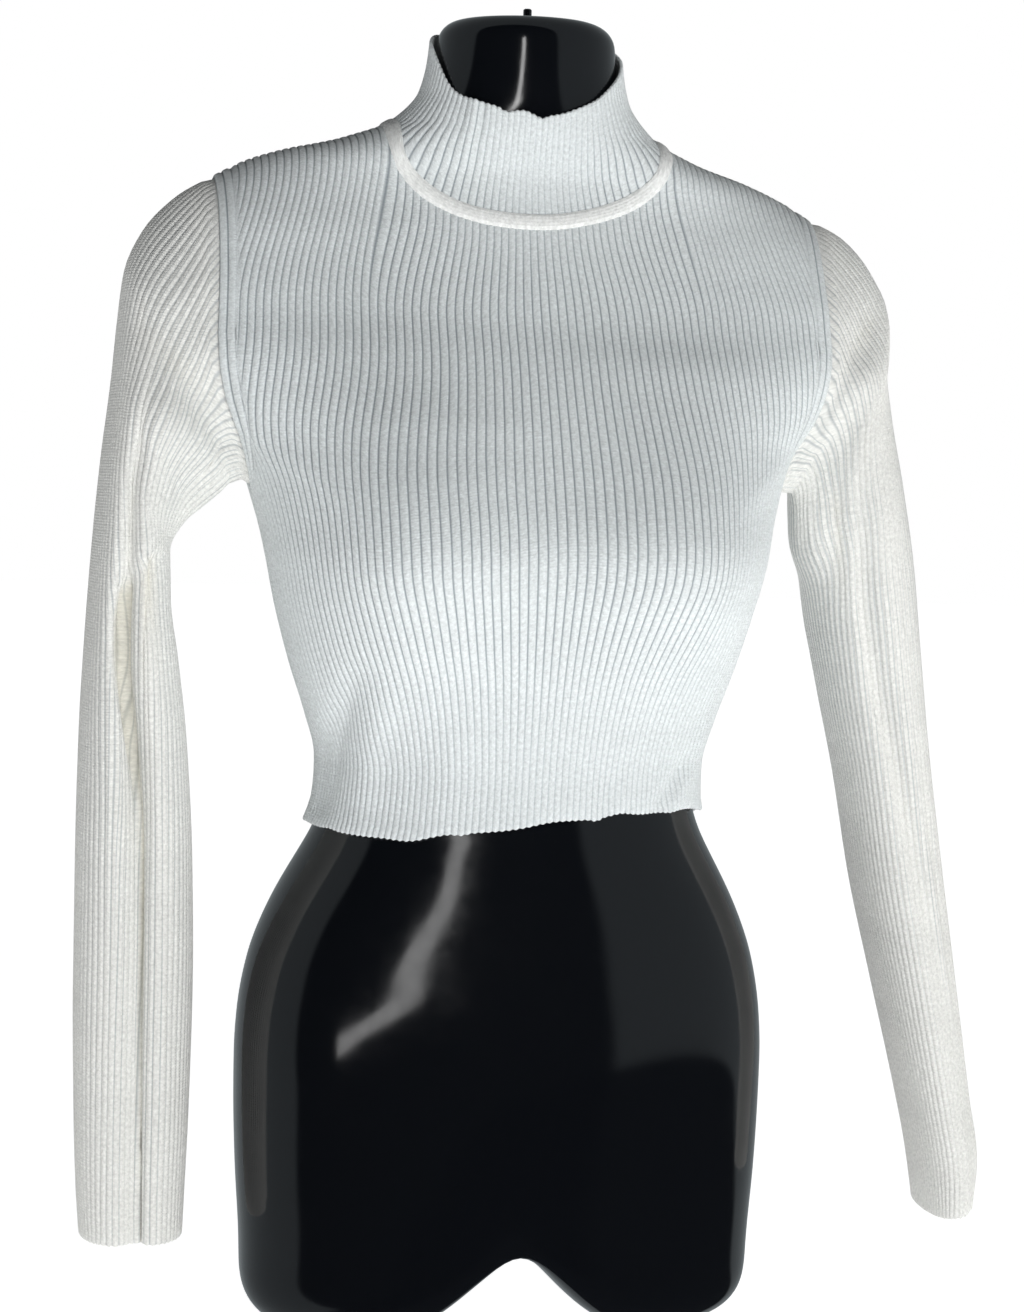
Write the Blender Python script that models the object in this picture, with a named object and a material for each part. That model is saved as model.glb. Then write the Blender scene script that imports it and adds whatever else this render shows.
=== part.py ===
"""Long-sleeve mock-neck crop top of ribbed knit, resting on a glossy torso form.

The form stands on its two thigh stubs and faces -Y, with +X at the viewer's right.
Every cloth piece is a thin wall. The panels, the collar and the neck band are laid
out on the form's own surface and moved out from it; the sleeves are rings that start
at the armholes and hang free.

Angles run round the form: 0 at +X, a quarter turn at the back, half a turn at -X,
and minus a quarter turn at the front. Lengths are in metres.
"""

import math

import bmesh
import bpy
import numpy as np

# ---------------------------------------------------------------- driving sizes

CLOTH_WALL = 0.0018        # thickness of the knit
CLOTH_CLEARANCE = 0.0020   # from the form to the inner face of the cloth
SEAM_GAP = 0.0003          # between two pieces that are sewn together

FORM_HEIGHT = 0.7405
FORM_SIDES = 56            # points round each ring of the form
FORM_BODY_RINGS = 62       # rings between its rounded ends
FOOT_ROUNDING = 0.027      # radius of the edge under each thigh stub
NECK_ROUNDING = 0.011      # radius of the edge round the top of the neck

ROUNDING_STEPS = 5         # steps round each of those edges
FORM_PROFILE_SAMPLES = 400
FOOT_FILL_COLUMNS = 10     # columns of faces that close the underside
NECK_FILL_COLUMNS = 6      # and the top of the neck

NOTCH_DEPTH = 0.056        # the gap between the two thigh stubs
NOTCH_HALF_WIDTH = 0.078
NOTCH_FLARE = 1.2          # how the arch of the gap opens towards the floor
NOTCH_NARROWNESS = 2.1     # how narrow its top is
NOTCH_FADE = 0.110         # height at which the notch no longer moves the surface

BUST_HEIGHT = 0.437
BUST_HALF_SPACING = 0.078
BUST_RISE = 0.024
BUST_SPREAD = 0.040        # sideways
BUST_SPREAD_UP = 0.055
BUST_SPREAD_DOWN = 0.034
BUST_SIDE_FADE = 0.7       # sine of the angle at which the bust reaches its full rise
RIGHT_SHOULDER_DROP = 0.007    # the shoulders aren't level
LEFT_SHOULDER_RISE = 0.003

UNDERARM_HEIGHT = 0.478
CHEST_HEIGHT = 0.560       # above this the ribs stand upright
NECK_POINT_HALF_WIDTH = 0.080
FRONT_NECK_DROP = 0.0555   # from the neck point to the middle of the neckline
BACK_NECK_DROP = 0.0120

BAND_WIDTH = 0.008
BAND_THICKNESS = 0.0034
BAND_PROFILE = (0.45, 0.88, 1.0, 0.88, 0.45)   # its thickness from edge to edge
COLLAR_TOP_SIDE = 0.7265   # height of the collar's upper edge beside the neck
COLLAR_TOP_TILT = 0.025    # how much the back stands higher and the front lower
COLLAR_TOP_DIP = 0.0165

STUB_BASE_RADIUS = 0.0085  # the small stub on top of the neck, for a hanging hook
STUB_BASE_HEIGHT = 0.0022
STUB_RADIUS = 0.0024
STUB_HEIGHT = 0.0085
STUB_ROUNDING = 0.0006
STUB_SIDES = 24

STAND_SHIFT = (-0.0229, 0.0143, 0.0)   # puts the origin under the middle of everything

FRONT = -1
BACK = 1

# Height, then the half width and the reach to the front and to the back of centre_y.
FORM_COLUMNS = ("height", "half_width", "front", "back", "centre_y", "squareness")
FORM_ROWS = (
    (0.000, 0.1480, 0.078, 0.082, 0.000, 2.4),
    (0.045, 0.1490, 0.083, 0.088, 0.000, 2.4),
    (0.090, 0.1520, 0.088, 0.098, 0.000, 2.35),
    (0.130, 0.1535, 0.091, 0.104, 0.000, 2.3),
    (0.155, 0.1537, 0.092, 0.104, 0.000, 2.3),
    (0.180, 0.1525, 0.091, 0.100, 0.000, 2.25),
    (0.210, 0.1475, 0.088, 0.091, 0.000, 2.2),
    (0.240, 0.1365, 0.084, 0.081, -0.001, 2.2),
    (0.265, 0.1235, 0.080, 0.073, -0.003, 2.15),
    (0.285, 0.1125, 0.077, 0.068, -0.005, 2.1),
    (0.305, 0.1060, 0.075, 0.065, -0.006, 2.1),
    (0.325, 0.1045, 0.075, 0.065, -0.008, 2.1),
    (0.350, 0.1110, 0.077, 0.069, -0.012, 2.15),
    (0.380, 0.1205, 0.083, 0.078, -0.016, 2.2),
    (0.410, 0.1285, 0.088, 0.088, -0.020, 2.3),
    (0.440, 0.1360, 0.091, 0.096, -0.022, 2.3),
    (0.465, 0.1410, 0.090, 0.100, -0.018, 2.3),
    (0.500, 0.1515, 0.085, 0.102, -0.010, 2.4),
    (0.525, 0.1720, 0.081, 0.101, -0.004, 2.4),
    (0.550, 0.1930, 0.075, 0.097, 0.002, 2.4),
    (0.570, 0.2055, 0.070, 0.092, 0.008, 2.35),
    (0.590, 0.2110, 0.066, 0.087, 0.012, 2.3),
    (0.605, 0.2090, 0.063, 0.082, 0.015, 2.25),
    (0.620, 0.2000, 0.060, 0.077, 0.017, 2.2),
    (0.635, 0.1845, 0.056, 0.070, 0.018, 2.1),
    (0.650, 0.1600, 0.052, 0.060, 0.016, 2.0),
    (0.660, 0.1350, 0.050, 0.053, 0.012, 2.0),
    (0.670, 0.1010, 0.049, 0.049, 0.008, 2.0),
    (0.680, 0.0745, 0.048, 0.047, 0.004, 2.0),
    (0.700, 0.0560, 0.047, 0.046, 0.000, 2.0),
    (0.720, 0.0515, 0.046, 0.045, -0.002, 2.0),
    (0.7405, 0.0500, 0.045, 0.044, -0.004, 2.0),
)

# How far the cloth stands off the form beyond its clearance, on each side of it.
HANG_COLUMNS = ("height", "front", "back", "left", "right")
HANG_ROWS = (
    (0.270, 0.0105, 0.0330, 0.0020, 0.0010),
    (0.300, 0.0120, 0.0350, 0.0020, 0.0015),
    (0.325, 0.0130, 0.0330, 0.0022, 0.0025),
    (0.350, 0.0120, 0.0280, 0.0030, 0.0012),
    (0.380, 0.0080, 0.0190, 0.0040, 0.0010),
    (0.410, 0.0030, 0.0110, 0.0045, 0.0004),
    (0.440, 0.0006, 0.0045, 0.0034, 0.0004),
    (0.478, 0.0004, 0.0010, 0.0020, 0.0004),
    (0.530, 0.0008, 0.0008, 0.0016, 0.0012),
    (0.575, 0.0003, 0.0003, 0.0008, 0.0008),
    (0.615, 0.0000, 0.0000, 0.0000, 0.0000),
)

# Soft folds that rise from the hem. across runs from -1 at the left seam to 1.
HEM_FOLD_COLUMNS = ("face", "across", "spread", "depth", "reach")
HEM_FOLD_ROWS = (
    (FRONT, -0.62, 0.070, 0.0032, 0.060),
    (FRONT, 0.52, 0.090, 0.0026, 0.080),
    (BACK, -0.45, 0.110, 0.0050, 0.110),
    (BACK, 0.38, 0.120, 0.0060, 0.130),
)

# Height of the hem across each panel.
HEM_ACROSS = (-1.0, -0.7, -0.4, 0.0, 0.35, 0.7, 1.0)
FRONT_HEM_HEIGHTS = (0.2880, 0.2868, 0.2910, 0.2965, 0.3020, 0.3020, 0.2960)
BACK_HEM_HEIGHTS = (0.2880, 0.2830, 0.2800, 0.2780, 0.2770, 0.2790, 0.2960)

# Half width of each panel, measured on the form, where the armhole cuts it.
ARMHOLE_COLUMNS = ("height", "front_x", "back_x")
ARMHOLE_ROWS = (
    (0.478, 0.1453, 0.1453),
    (0.490, 0.1483, 0.1482),
    (0.505, 0.1536, 0.1531),
    (0.525, 0.1640, 0.1625),
    (0.545, 0.1700, 0.1690),
    (0.560, 0.1720, 0.1720),
)

# Rings of a sleeve from the armhole to the cuff. outer and inner are the two ends of
# the ring seen from the front, front and back its reach in Y from mid_y, and fold the
# depth of the crease pressed into its front at fold_at (-1 inner end, 1 outer end).
SLEEVE_COLUMNS = (
    "outer_x", "outer_z", "inner_x", "inner_z",
    "mid_y", "front", "back", "fold", "fold_at", "back_fold",
)
LEFT_SLEEVE_ROWS = (
    (0.1760, 0.6500, 0.1490, 0.4795, 0.016, 0.064, 0.078, 0.000, 0.10, 0.000),
    (0.1955, 0.6380, 0.1550, 0.4830, 0.015, 0.062, 0.076, 0.000, 0.10, 0.000),
    (0.2135, 0.6185, 0.1620, 0.4815, 0.013, 0.060, 0.074, 0.000, 0.10, 0.000),
    (0.2232, 0.5955, 0.1680, 0.4750, 0.011, 0.059, 0.071, 0.000, 0.10, 0.000),
    (0.2260, 0.5690, 0.1770, 0.4670, 0.010, 0.059, 0.067, 0.001, 0.10, 0.000),
    (0.2285, 0.5350, 0.1870, 0.4580, 0.009, 0.058, 0.062, 0.004, 0.10, 0.002),
    (0.2325, 0.4950, 0.1960, 0.4400, 0.008, 0.056, 0.058, 0.008, 0.15, 0.004),
    (0.2365, 0.4450, 0.1955, 0.4130, 0.008, 0.054, 0.055, 0.012, 0.20, 0.006),
    (0.2400, 0.3920, 0.1905, 0.3780, 0.008, 0.050, 0.051, 0.015, 0.22, 0.007),
    (0.2425, 0.3350, 0.1848, 0.3310, 0.008, 0.046, 0.047, 0.016, 0.20, 0.007),
    (0.2435, 0.2650, 0.1805, 0.2640, 0.008, 0.042, 0.043, 0.015, 0.12, 0.006),
    (0.2435, 0.1950, 0.1790, 0.1945, 0.008, 0.039, 0.040, 0.013, 0.08, 0.005),
    (0.2423, 0.1250, 0.1800, 0.1248, 0.008, 0.037, 0.038, 0.012, 0.05, 0.004),
    (0.2405, 0.0750, 0.1815, 0.0748, 0.008, 0.036, 0.037, 0.011, 0.05, 0.004),
    (0.2385, 0.0440, 0.1825, 0.0440, 0.008, 0.035, 0.036, 0.010, 0.05, 0.004),
)
RIGHT_SLEEVE_ROWS = (
    (0.1745, 0.6405, 0.1490, 0.4795, 0.016, 0.064, 0.078, 0.000, -0.30, 0.000),
    (0.1925, 0.6320, 0.1545, 0.4830, 0.015, 0.062, 0.076, 0.000, -0.30, 0.000),
    (0.2090, 0.6140, 0.1615, 0.4830, 0.013, 0.060, 0.074, 0.000, -0.30, 0.000),
    (0.2180, 0.5930, 0.1645, 0.4740, 0.011, 0.059, 0.071, 0.000, -0.30, 0.000),
    (0.2160, 0.5700, 0.1660, 0.4620, 0.010, 0.059, 0.067, 0.001, -0.30, 0.000),
    (0.2200, 0.5350, 0.1690, 0.4480, 0.009, 0.058, 0.062, 0.003, -0.35, 0.002),
    (0.2270, 0.4950, 0.1795, 0.4250, 0.008, 0.056, 0.058, 0.006, -0.40, 0.004),
    (0.2360, 0.4450, 0.1870, 0.3950, 0.008, 0.053, 0.055, 0.008, -0.40, 0.005),
    (0.2432, 0.3920, 0.1950, 0.3590, 0.008, 0.049, 0.051, 0.008, -0.35, 0.006),
    (0.2507, 0.3350, 0.2055, 0.3140, 0.008, 0.046, 0.048, 0.006, -0.20, 0.005),
    (0.2617, 0.2650, 0.2172, 0.2530, 0.008, 0.044, 0.045, 0.004, 0.00, 0.004),
    (0.2732, 0.1950, 0.2340, 0.1870, 0.008, 0.042, 0.043, 0.003, 0.20, 0.003),
    (0.2845, 0.1250, 0.2513, 0.1210, 0.008, 0.040, 0.041, 0.003, 0.40, 0.003),
    (0.2912, 0.0800, 0.2610, 0.0765, 0.008, 0.038, 0.039, 0.003, 0.45, 0.003),
    (0.2890, 0.0510, 0.2660, 0.0490, 0.008, 0.036, 0.037, 0.003, 0.45, 0.003),
)
SLEEVE_SQUARENESS = 2.3
FOLD_SPREAD = 0.28         # half width of a sleeve's crease, as a share of the ring
SLEEVE_BLEND = 0.30        # share of a sleeve's length that still follows the armhole

# Counts that set how finely each piece is faceted.
NECK_STEPS = 9             # columns from the middle of the neckline to the neck point
SHOULDER_STEPS = 6         # columns from the neck point to the armhole
ROWS_BELOW_UNDERARM = 8
ROWS_ABOVE_UNDERARM = 12
SLEEVE_ROWS = 16
COLLAR_ROWS = 3
NECK_CROWDING = 1.75       # above 1 the neckline's points crowd towards the shoulder
RING_CROWDING = 1.45       # above 1 a sleeve's rings crowd towards the shoulder
ROW_CROWDING = 1.35        # above 1 the rows crowd towards the shoulder
DENSE_SAMPLES = 160        # samples along a line before it is divided evenly
PANEL_LEVELS = 80          # heights below the chest at which the columns are placed
LOWEST_LEVEL = 0.270       # just under the lowest point of either hem
RIDGE_HEIGHTS = (0.600, 0.690)   # the shoulder ridge lies between these
RIDGE_SAMPLES = 400
SHARP_ANGLE = math.radians(50.0)


# ---------------------------------------------------------------- small helpers

def named_columns(names, rows):
    """Turn a table into one array per named column."""
    return dict(zip(names, np.array(rows, dtype=float).T))


def smooth_curve(places, values):
    """Return a smooth function through the points that never overshoots them."""
    places = np.asarray(places, dtype=float)
    values = np.asarray(values, dtype=float)
    steps = np.diff(places)
    slopes = np.diff(values) / steps
    before, after = slopes[:-1], slopes[1:]
    same_way = before * after > 0.0
    safe_before = np.where(same_way, before, 1.0)
    safe_after = np.where(same_way, after, 1.0)
    inner = np.where(same_way, 2.0 / (1.0 / safe_before + 1.0 / safe_after), 0.0)
    tangents = np.concatenate(([slopes[0]], inner, [slopes[-1]]))

    def value_at(place):
        place = np.clip(place, places[0], places[-1])
        index = np.clip(np.searchsorted(places, place) - 1, 0, len(steps) - 1)
        step = steps[index]
        part = (place - places[index]) / step
        rest = 1.0 - part
        return (
            values[index] * rest * rest * (1.0 + 2.0 * part)
            + values[index + 1] * part * part * (3.0 - 2.0 * part)
            + tangents[index] * step * part * rest * rest
            - tangents[index + 1] * step * part * part * rest
        )

    return value_at


def smooth_step(low, high, value):
    """Rise from 0 at low to 1 at high with no corner."""
    part = np.clip((value - low) / (high - low), 0.0, 1.0)
    return part * part * (3.0 - 2.0 * part)


def unit(vectors):
    """Scale each vector to length 1."""
    lengths = np.linalg.norm(vectors, axis=-1, keepdims=True)
    return vectors / np.maximum(lengths, 1e-12)


def spread_along(path, count, trim=0.0, crowding=1.0):
    """Return count places along a path, as sample numbers, ending a trim short."""
    steps = np.linalg.norm(np.diff(path, axis=0), axis=1)
    travelled = np.concatenate(([0.0], np.cumsum(steps)))
    share = 1.0 - np.linspace(1.0, 0.0, count) ** crowding
    wanted = share * (travelled[-1] - trim)
    return np.interp(wanted, travelled, np.arange(len(path)))


# ---------------------------------------------------------------- the form's surface

_form = named_columns(FORM_COLUMNS, FORM_ROWS)
half_width_at = smooth_curve(_form["height"], _form["half_width"])
front_at = smooth_curve(_form["height"], _form["front"])
back_at = smooth_curve(_form["height"], _form["back"])
centre_y_at = smooth_curve(_form["height"], _form["centre_y"])
squareness_at = smooth_curve(_form["height"], _form["squareness"])


def form_point(angle, height, inset=0.0):
    """Point on the form at an angle round it and a height, before the notch."""
    cosine, sine = np.cos(angle), np.sin(angle)
    width = half_width_at(height) - inset
    depth = np.where(sine < 0.0, front_at(height), back_at(height)) - inset
    power = squareness_at(height)
    radius = (np.abs(cosine / width) ** power + np.abs(sine / depth) ** power) ** (-1.0 / power)
    x = radius * cosine
    y = centre_y_at(height) + radius * sine
    rise = height - BUST_HEIGHT
    spread = np.where(rise > 0.0, BUST_SPREAD_UP, BUST_SPREAD_DOWN)
    bump = np.exp(-0.5 * (rise / spread) ** 2) * (
        np.exp(-0.5 * ((x - BUST_HALF_SPACING) / BUST_SPREAD) ** 2)
        + np.exp(-0.5 * ((x + BUST_HALF_SPACING) / BUST_SPREAD) ** 2)
    )
    y = y - BUST_RISE * bump * smooth_step(0.0, BUST_SIDE_FADE, -sine)
    uneven = (
        LEFT_SHOULDER_RISE * smooth_step(0.10, 0.16, -x)
        - RIGHT_SHOULDER_DROP * smooth_step(0.02, 0.11, x)
    )
    z = height + uneven * smooth_step(0.54, 0.63, height)
    return np.stack(np.broadcast_arrays(x, y, z), axis=-1)


def form_normal(angle, height):
    """Outward direction of the form's surface."""
    turn, lift = 1e-4, 1e-5
    along = form_point(angle + turn, height) - form_point(angle - turn, height)
    upward = form_point(angle, height + lift) - form_point(angle, height - lift)
    return unit(np.cross(along, upward))


# ---------------------------------------------------------------- cloth on the form

_hang = named_columns(HANG_COLUMNS, HANG_ROWS)
hang_front_at = smooth_curve(_hang["height"], _hang["front"])
hang_back_at = smooth_curve(_hang["height"], _hang["back"])
hang_left_at = smooth_curve(_hang["height"], _hang["left"])
hang_right_at = smooth_curve(_hang["height"], _hang["right"])


def stand_off(angle, height):
    """How far the cloth hangs away from the form, sideways and fore and aft."""
    cosine, sine = np.cos(angle), np.sin(angle)
    fore_aft = np.where(sine < 0.0, hang_front_at(height), hang_back_at(height))
    sideways = np.where(cosine < 0.0, hang_left_at(height), hang_right_at(height))
    return fore_aft * sine**2 + sideways * cosine**2


def cloth_point(angle, height, lift, loose=0.0):
    """Point of cloth laid on the form, lift above its clearance, plus any loose hang."""
    outward = np.stack([np.cos(angle), np.sin(angle), np.zeros_like(angle)], axis=-1)
    lifted = np.asarray(CLOTH_CLEARANCE + lift)[..., None] * form_normal(angle, height)
    hanging = (stand_off(angle, height) + loose)[..., None] * outward
    return form_point(angle, height) + lifted + hanging


def angle_at_x(face, x, height):
    """Angle of the point of the front or back whose sideways place is x."""
    width = half_width_at(height)
    depth = np.where(face == FRONT, front_at(height), back_at(height))
    power = squareness_at(height)
    share = np.clip(np.abs(x) / width, 0.0, 1.0)
    reach = depth * (1.0 - share**power) ** (1.0 / power)
    angle = np.arctan2(reach, np.sign(x) * share * width)
    return face * angle


_armhole = named_columns(ARMHOLE_COLUMNS, ARMHOLE_ROWS)
armhole_x_at = {
    FRONT: smooth_curve(_armhole["height"], _armhole["front_x"]),
    BACK: smooth_curve(_armhole["height"], _armhole["back_x"]),
}


def armhole_x(face, height):
    """Half width of a panel at a height, measured on the form."""
    return np.minimum(armhole_x_at[face](height), half_width_at(height))


def neckline_height(face, x):
    """Height of the neckline above a place across the neck."""
    drop = FRONT_NECK_DROP if face == FRONT else BACK_NECK_DROP
    share = np.clip(np.abs(x) / NECK_POINT_HALF_WIDTH, 0.0, 1.0)
    return neck_point_height() - drop * np.sqrt(1.0 - share**2)


def ridge_height(half_x):
    """Height of the shoulder ridge at a distance from the middle."""
    heights = np.linspace(*RIDGE_HEIGHTS, RIDGE_SAMPLES)
    return np.interp(-half_x, -half_width_at(heights), heights)


def neck_point_height():
    """Height where the neckline meets the shoulder seam."""
    return ridge_height(NECK_POINT_HALF_WIDTH)


def neck_places():
    """Places from the neck point (0) to the middle of the neckline (quarter turn)."""
    share = np.arange(NECK_STEPS + 1) / NECK_STEPS
    return 0.5 * math.pi * share**NECK_CROWDING


def top_columns():
    """Sideways place of each column at the top of a panel, left to right."""
    tip_x = float(armhole_x(FRONT, CHEST_HEIGHT))
    neck = NECK_POINT_HALF_WIDTH * np.cos(neck_places())
    shoulder = np.linspace(NECK_POINT_HALF_WIDTH, tip_x, SHOULDER_STEPS + 1)[1:]
    half = np.concatenate((neck[::-1], shoulder))
    half[0] = 0.0
    return np.concatenate((-half[:0:-1], half))


# ---------------------------------------------------------------- body panels

def slice_across(face, height):
    """Angles of a slice of a panel, left to right, with each one's share of its arc."""
    if height <= UNDERARM_HEIGHT:
        border = float(half_width_at(height))
    else:
        border = float(armhole_x(face, height))
    left = float(angle_at_x(face, -border, height))
    right = float(angle_at_x(face, border, height))
    angles = np.linspace(left, right, DENSE_SAMPLES)
    points = cloth_point(angles, np.full_like(angles, height), 0.0)
    steps = np.linalg.norm(np.diff(points, axis=0), axis=1)
    shares = np.concatenate(([0.0], np.cumsum(steps))) / steps.sum()
    return angles, shares, steps.sum()


def angle_at_share(face, wanted, height):
    """Angles at shares of the arc of a slice, clear of both seams by half a gap."""
    angles, shares, length = slice_across(face, height)
    trim = 0.5 * SEAM_GAP / length
    return np.interp(trim + wanted * (1.0 - 2.0 * trim), shares, angles)


def share_at_x(face, xs, height):
    """Shares of the arc of a slice at sideways places."""
    angles, shares, _ = slice_across(face, height)
    return np.interp(xs, form_point(angles, height)[:, 0], shares)


def hem_height(face, across):
    """Height of the hem at a place across a panel."""
    heights = FRONT_HEM_HEIGHTS if face == FRONT else BACK_HEM_HEIGHTS
    return smooth_curve(HEM_ACROSS, heights)(across)


def hem_fold(face, across, height):
    """Extra hang of the soft folds that rise from the hem."""
    folds = named_columns(HEM_FOLD_COLUMNS, HEM_FOLD_ROWS)
    hang = np.zeros(np.broadcast(across, height).shape)
    for index in np.flatnonzero(folds["face"] == face):
        sideways = np.exp(-(((across - folds["across"][index]) / folds["spread"][index]) ** 2))
        lowest = hem_height(face, folds["across"][index])
        fade = 1.0 - smooth_step(lowest, lowest + folds["reach"][index], height)
        hang = hang - folds["depth"][index] * sideways * fade
    return hang


def column_top(face, column, top_x, end_x):
    """Height where a column of a panel ends: the neckline or the shoulder ridge."""
    if abs(column - NECK_STEPS - SHOULDER_STEPS) < NECK_STEPS:
        return float(neckline_height(face, top_x))
    return float(ridge_height(abs(end_x)))


def column_angles(face, heights, levels, angles_below, start_x, end_x):
    """Angles up one column: by its share of the arc below the chest, by x above it."""
    share = np.clip((heights - CHEST_HEIGHT) / (heights[-1] - CHEST_HEIGHT), 0.0, 1.0)
    above = angle_at_x(face, start_x + (end_x - start_x) * share, heights)
    return np.where(heights < CHEST_HEIGHT, np.interp(heights, levels, angles_below), above)


def panel_lines(face):
    """Angles and heights of a panel's grid: rows from hem to top, columns left to right."""
    top_x = top_columns()
    chest_x = np.linspace(top_x[0], top_x[-1], len(top_x))
    shares = share_at_x(face, chest_x, CHEST_HEIGHT)
    shares[0] = 0.0
    shares[-1] = 1.0
    across = 2.0 * shares - 1.0
    levels = np.linspace(LOWEST_LEVEL, CHEST_HEIGHT, PANEL_LEVELS)
    angle_table = np.array([angle_at_share(face, shares, level) for level in levels])
    angles = np.zeros((ROWS_BELOW_UNDERARM + ROWS_ABOVE_UNDERARM + 1, len(top_x)))
    heights = np.zeros_like(angles)
    samples = np.arange(2 * DENSE_SAMPLES - 1)
    rise = np.sin(np.linspace(0.0, 0.5 * math.pi, DENSE_SAMPLES))
    edge_share = 1.0 - 0.5 * SEAM_GAP / abs(top_x[0])
    for column in range(len(top_x)):
        end_x = top_x[column] * edge_share
        top = column_top(face, column, top_x[column], end_x)
        below = np.linspace(float(hem_height(face, across[column])), UNDERARM_HEIGHT, DENSE_SAMPLES)
        above = UNDERARM_HEIGHT + (top - UNDERARM_HEIGHT) * rise
        line_heights = np.concatenate((below, above[1:]))
        start_x = chest_x[column] * edge_share
        line_angles = column_angles(
            face, line_heights, levels, angle_table[:, column], start_x, end_x)
        line = cloth_point(line_angles, line_heights, 0.0)
        lower = spread_along(line[:DENSE_SAMPLES], ROWS_BELOW_UNDERARM + 1)
        upper = spread_along(
            line[DENSE_SAMPLES - 1:], ROWS_ABOVE_UNDERARM + 1, 0.5 * SEAM_GAP, ROW_CROWDING)
        places = np.concatenate((lower, upper[1:] + DENSE_SAMPLES - 1))
        angles[:, column] = np.interp(places, samples, line_angles)
        heights[:, column] = np.interp(places, samples, line_heights)
    return angles, heights, np.broadcast_to(across, angles.shape)


def panel_wall(face):
    """Outer and inner grids of a panel."""
    angles, heights, across = panel_lines(face)
    loose = hem_fold(face, across, heights)
    outer = cloth_point(angles, heights, CLOTH_WALL, loose)
    inner = cloth_point(angles, heights, 0.0, loose)
    if face == BACK:
        outer, inner = outer[:, ::-1], inner[:, ::-1]
    return outer, inner


# ---------------------------------------------------------------- collar and neck band

def neck_loop():
    """Angles and heights of the neckline as one loop, and each point's way round."""
    quarter = neck_places()
    places = np.concatenate((
        quarter,
        math.pi - quarter[-2::-1],
        quarter[1:] - math.pi,
        -quarter[-2:0:-1],
    ))
    x = NECK_POINT_HALF_WIDTH * np.cos(places)
    drop = np.where(places < 0.0, FRONT_NECK_DROP, BACK_NECK_DROP)
    height = neck_point_height() - drop * np.abs(np.sin(places))
    front = angle_at_x(FRONT, x, height)
    back = angle_at_x(BACK, x, height)
    return np.where(places <= 0.0, front, back), height


def neck_lines():
    """Dense lines up the neck from the neckline to the collar's edge."""
    angle, start = neck_loop()
    sine = np.sin(angle)
    top = COLLAR_TOP_SIDE + COLLAR_TOP_TILT * sine - COLLAR_TOP_DIP * sine**2
    share = np.linspace(0.0, 1.0, DENSE_SAMPLES)[:, None]
    heights = start + (top - start) * share
    return np.broadcast_to(angle, heights.shape), heights


def neck_strip(low, high, count):
    """Angles and heights of rows between two distances above the neckline."""
    angles, heights = neck_lines()
    points = cloth_point(angles, heights, 0.0)
    steps = np.linalg.norm(np.diff(points, axis=0), axis=2)
    travelled = np.vstack((np.zeros(steps.shape[1]), np.cumsum(steps, axis=0)))
    rows = np.zeros((count, angles.shape[1]))
    for column in range(angles.shape[1]):
        end = travelled[-1, column] if high is None else high
        wanted = np.linspace(low, end, count)
        rows[:, column] = np.interp(wanted, travelled[:, column], heights[:, column])
    return np.broadcast_to(angles[0], rows.shape), rows


def collar_wall():
    """Outer and inner grids of the standing collar."""
    angles, heights = neck_strip(BAND_WIDTH + 2.0 * SEAM_GAP, None, COLLAR_ROWS + 1)
    return cloth_point(angles, heights, CLOTH_WALL), cloth_point(angles, heights, 0.0)


def neck_band_wall():
    """Outer and inner grids of the rolled strip along the neckline."""
    rows = len(BAND_PROFILE)
    angles, heights = neck_strip(SEAM_GAP, BAND_WIDTH + SEAM_GAP, rows)
    lift = np.broadcast_to(BAND_THICKNESS * np.array(BAND_PROFILE)[:, None], heights.shape)
    ends = [0, rows - 1]
    return cloth_point(angles, heights, lift), cloth_point(angles[ends], heights[ends], 0.0)


# ---------------------------------------------------------------- sleeves

def armhole_loop(side):
    """Angles and heights of the armhole edge: shoulder tip, front, underarm, back."""
    column = 0 if side < 0 else -1
    edges = []
    for face in (FRONT, BACK):
        angles, heights, _ = panel_lines(face)
        edge = np.stack((angles[:, column], heights[:, column]))
        edges.append(edge[:, ROWS_BELOW_UNDERARM:])
    front, back = edges
    return np.concatenate((front[:, ::-1], back[:, 1:-1]), axis=1)


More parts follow.
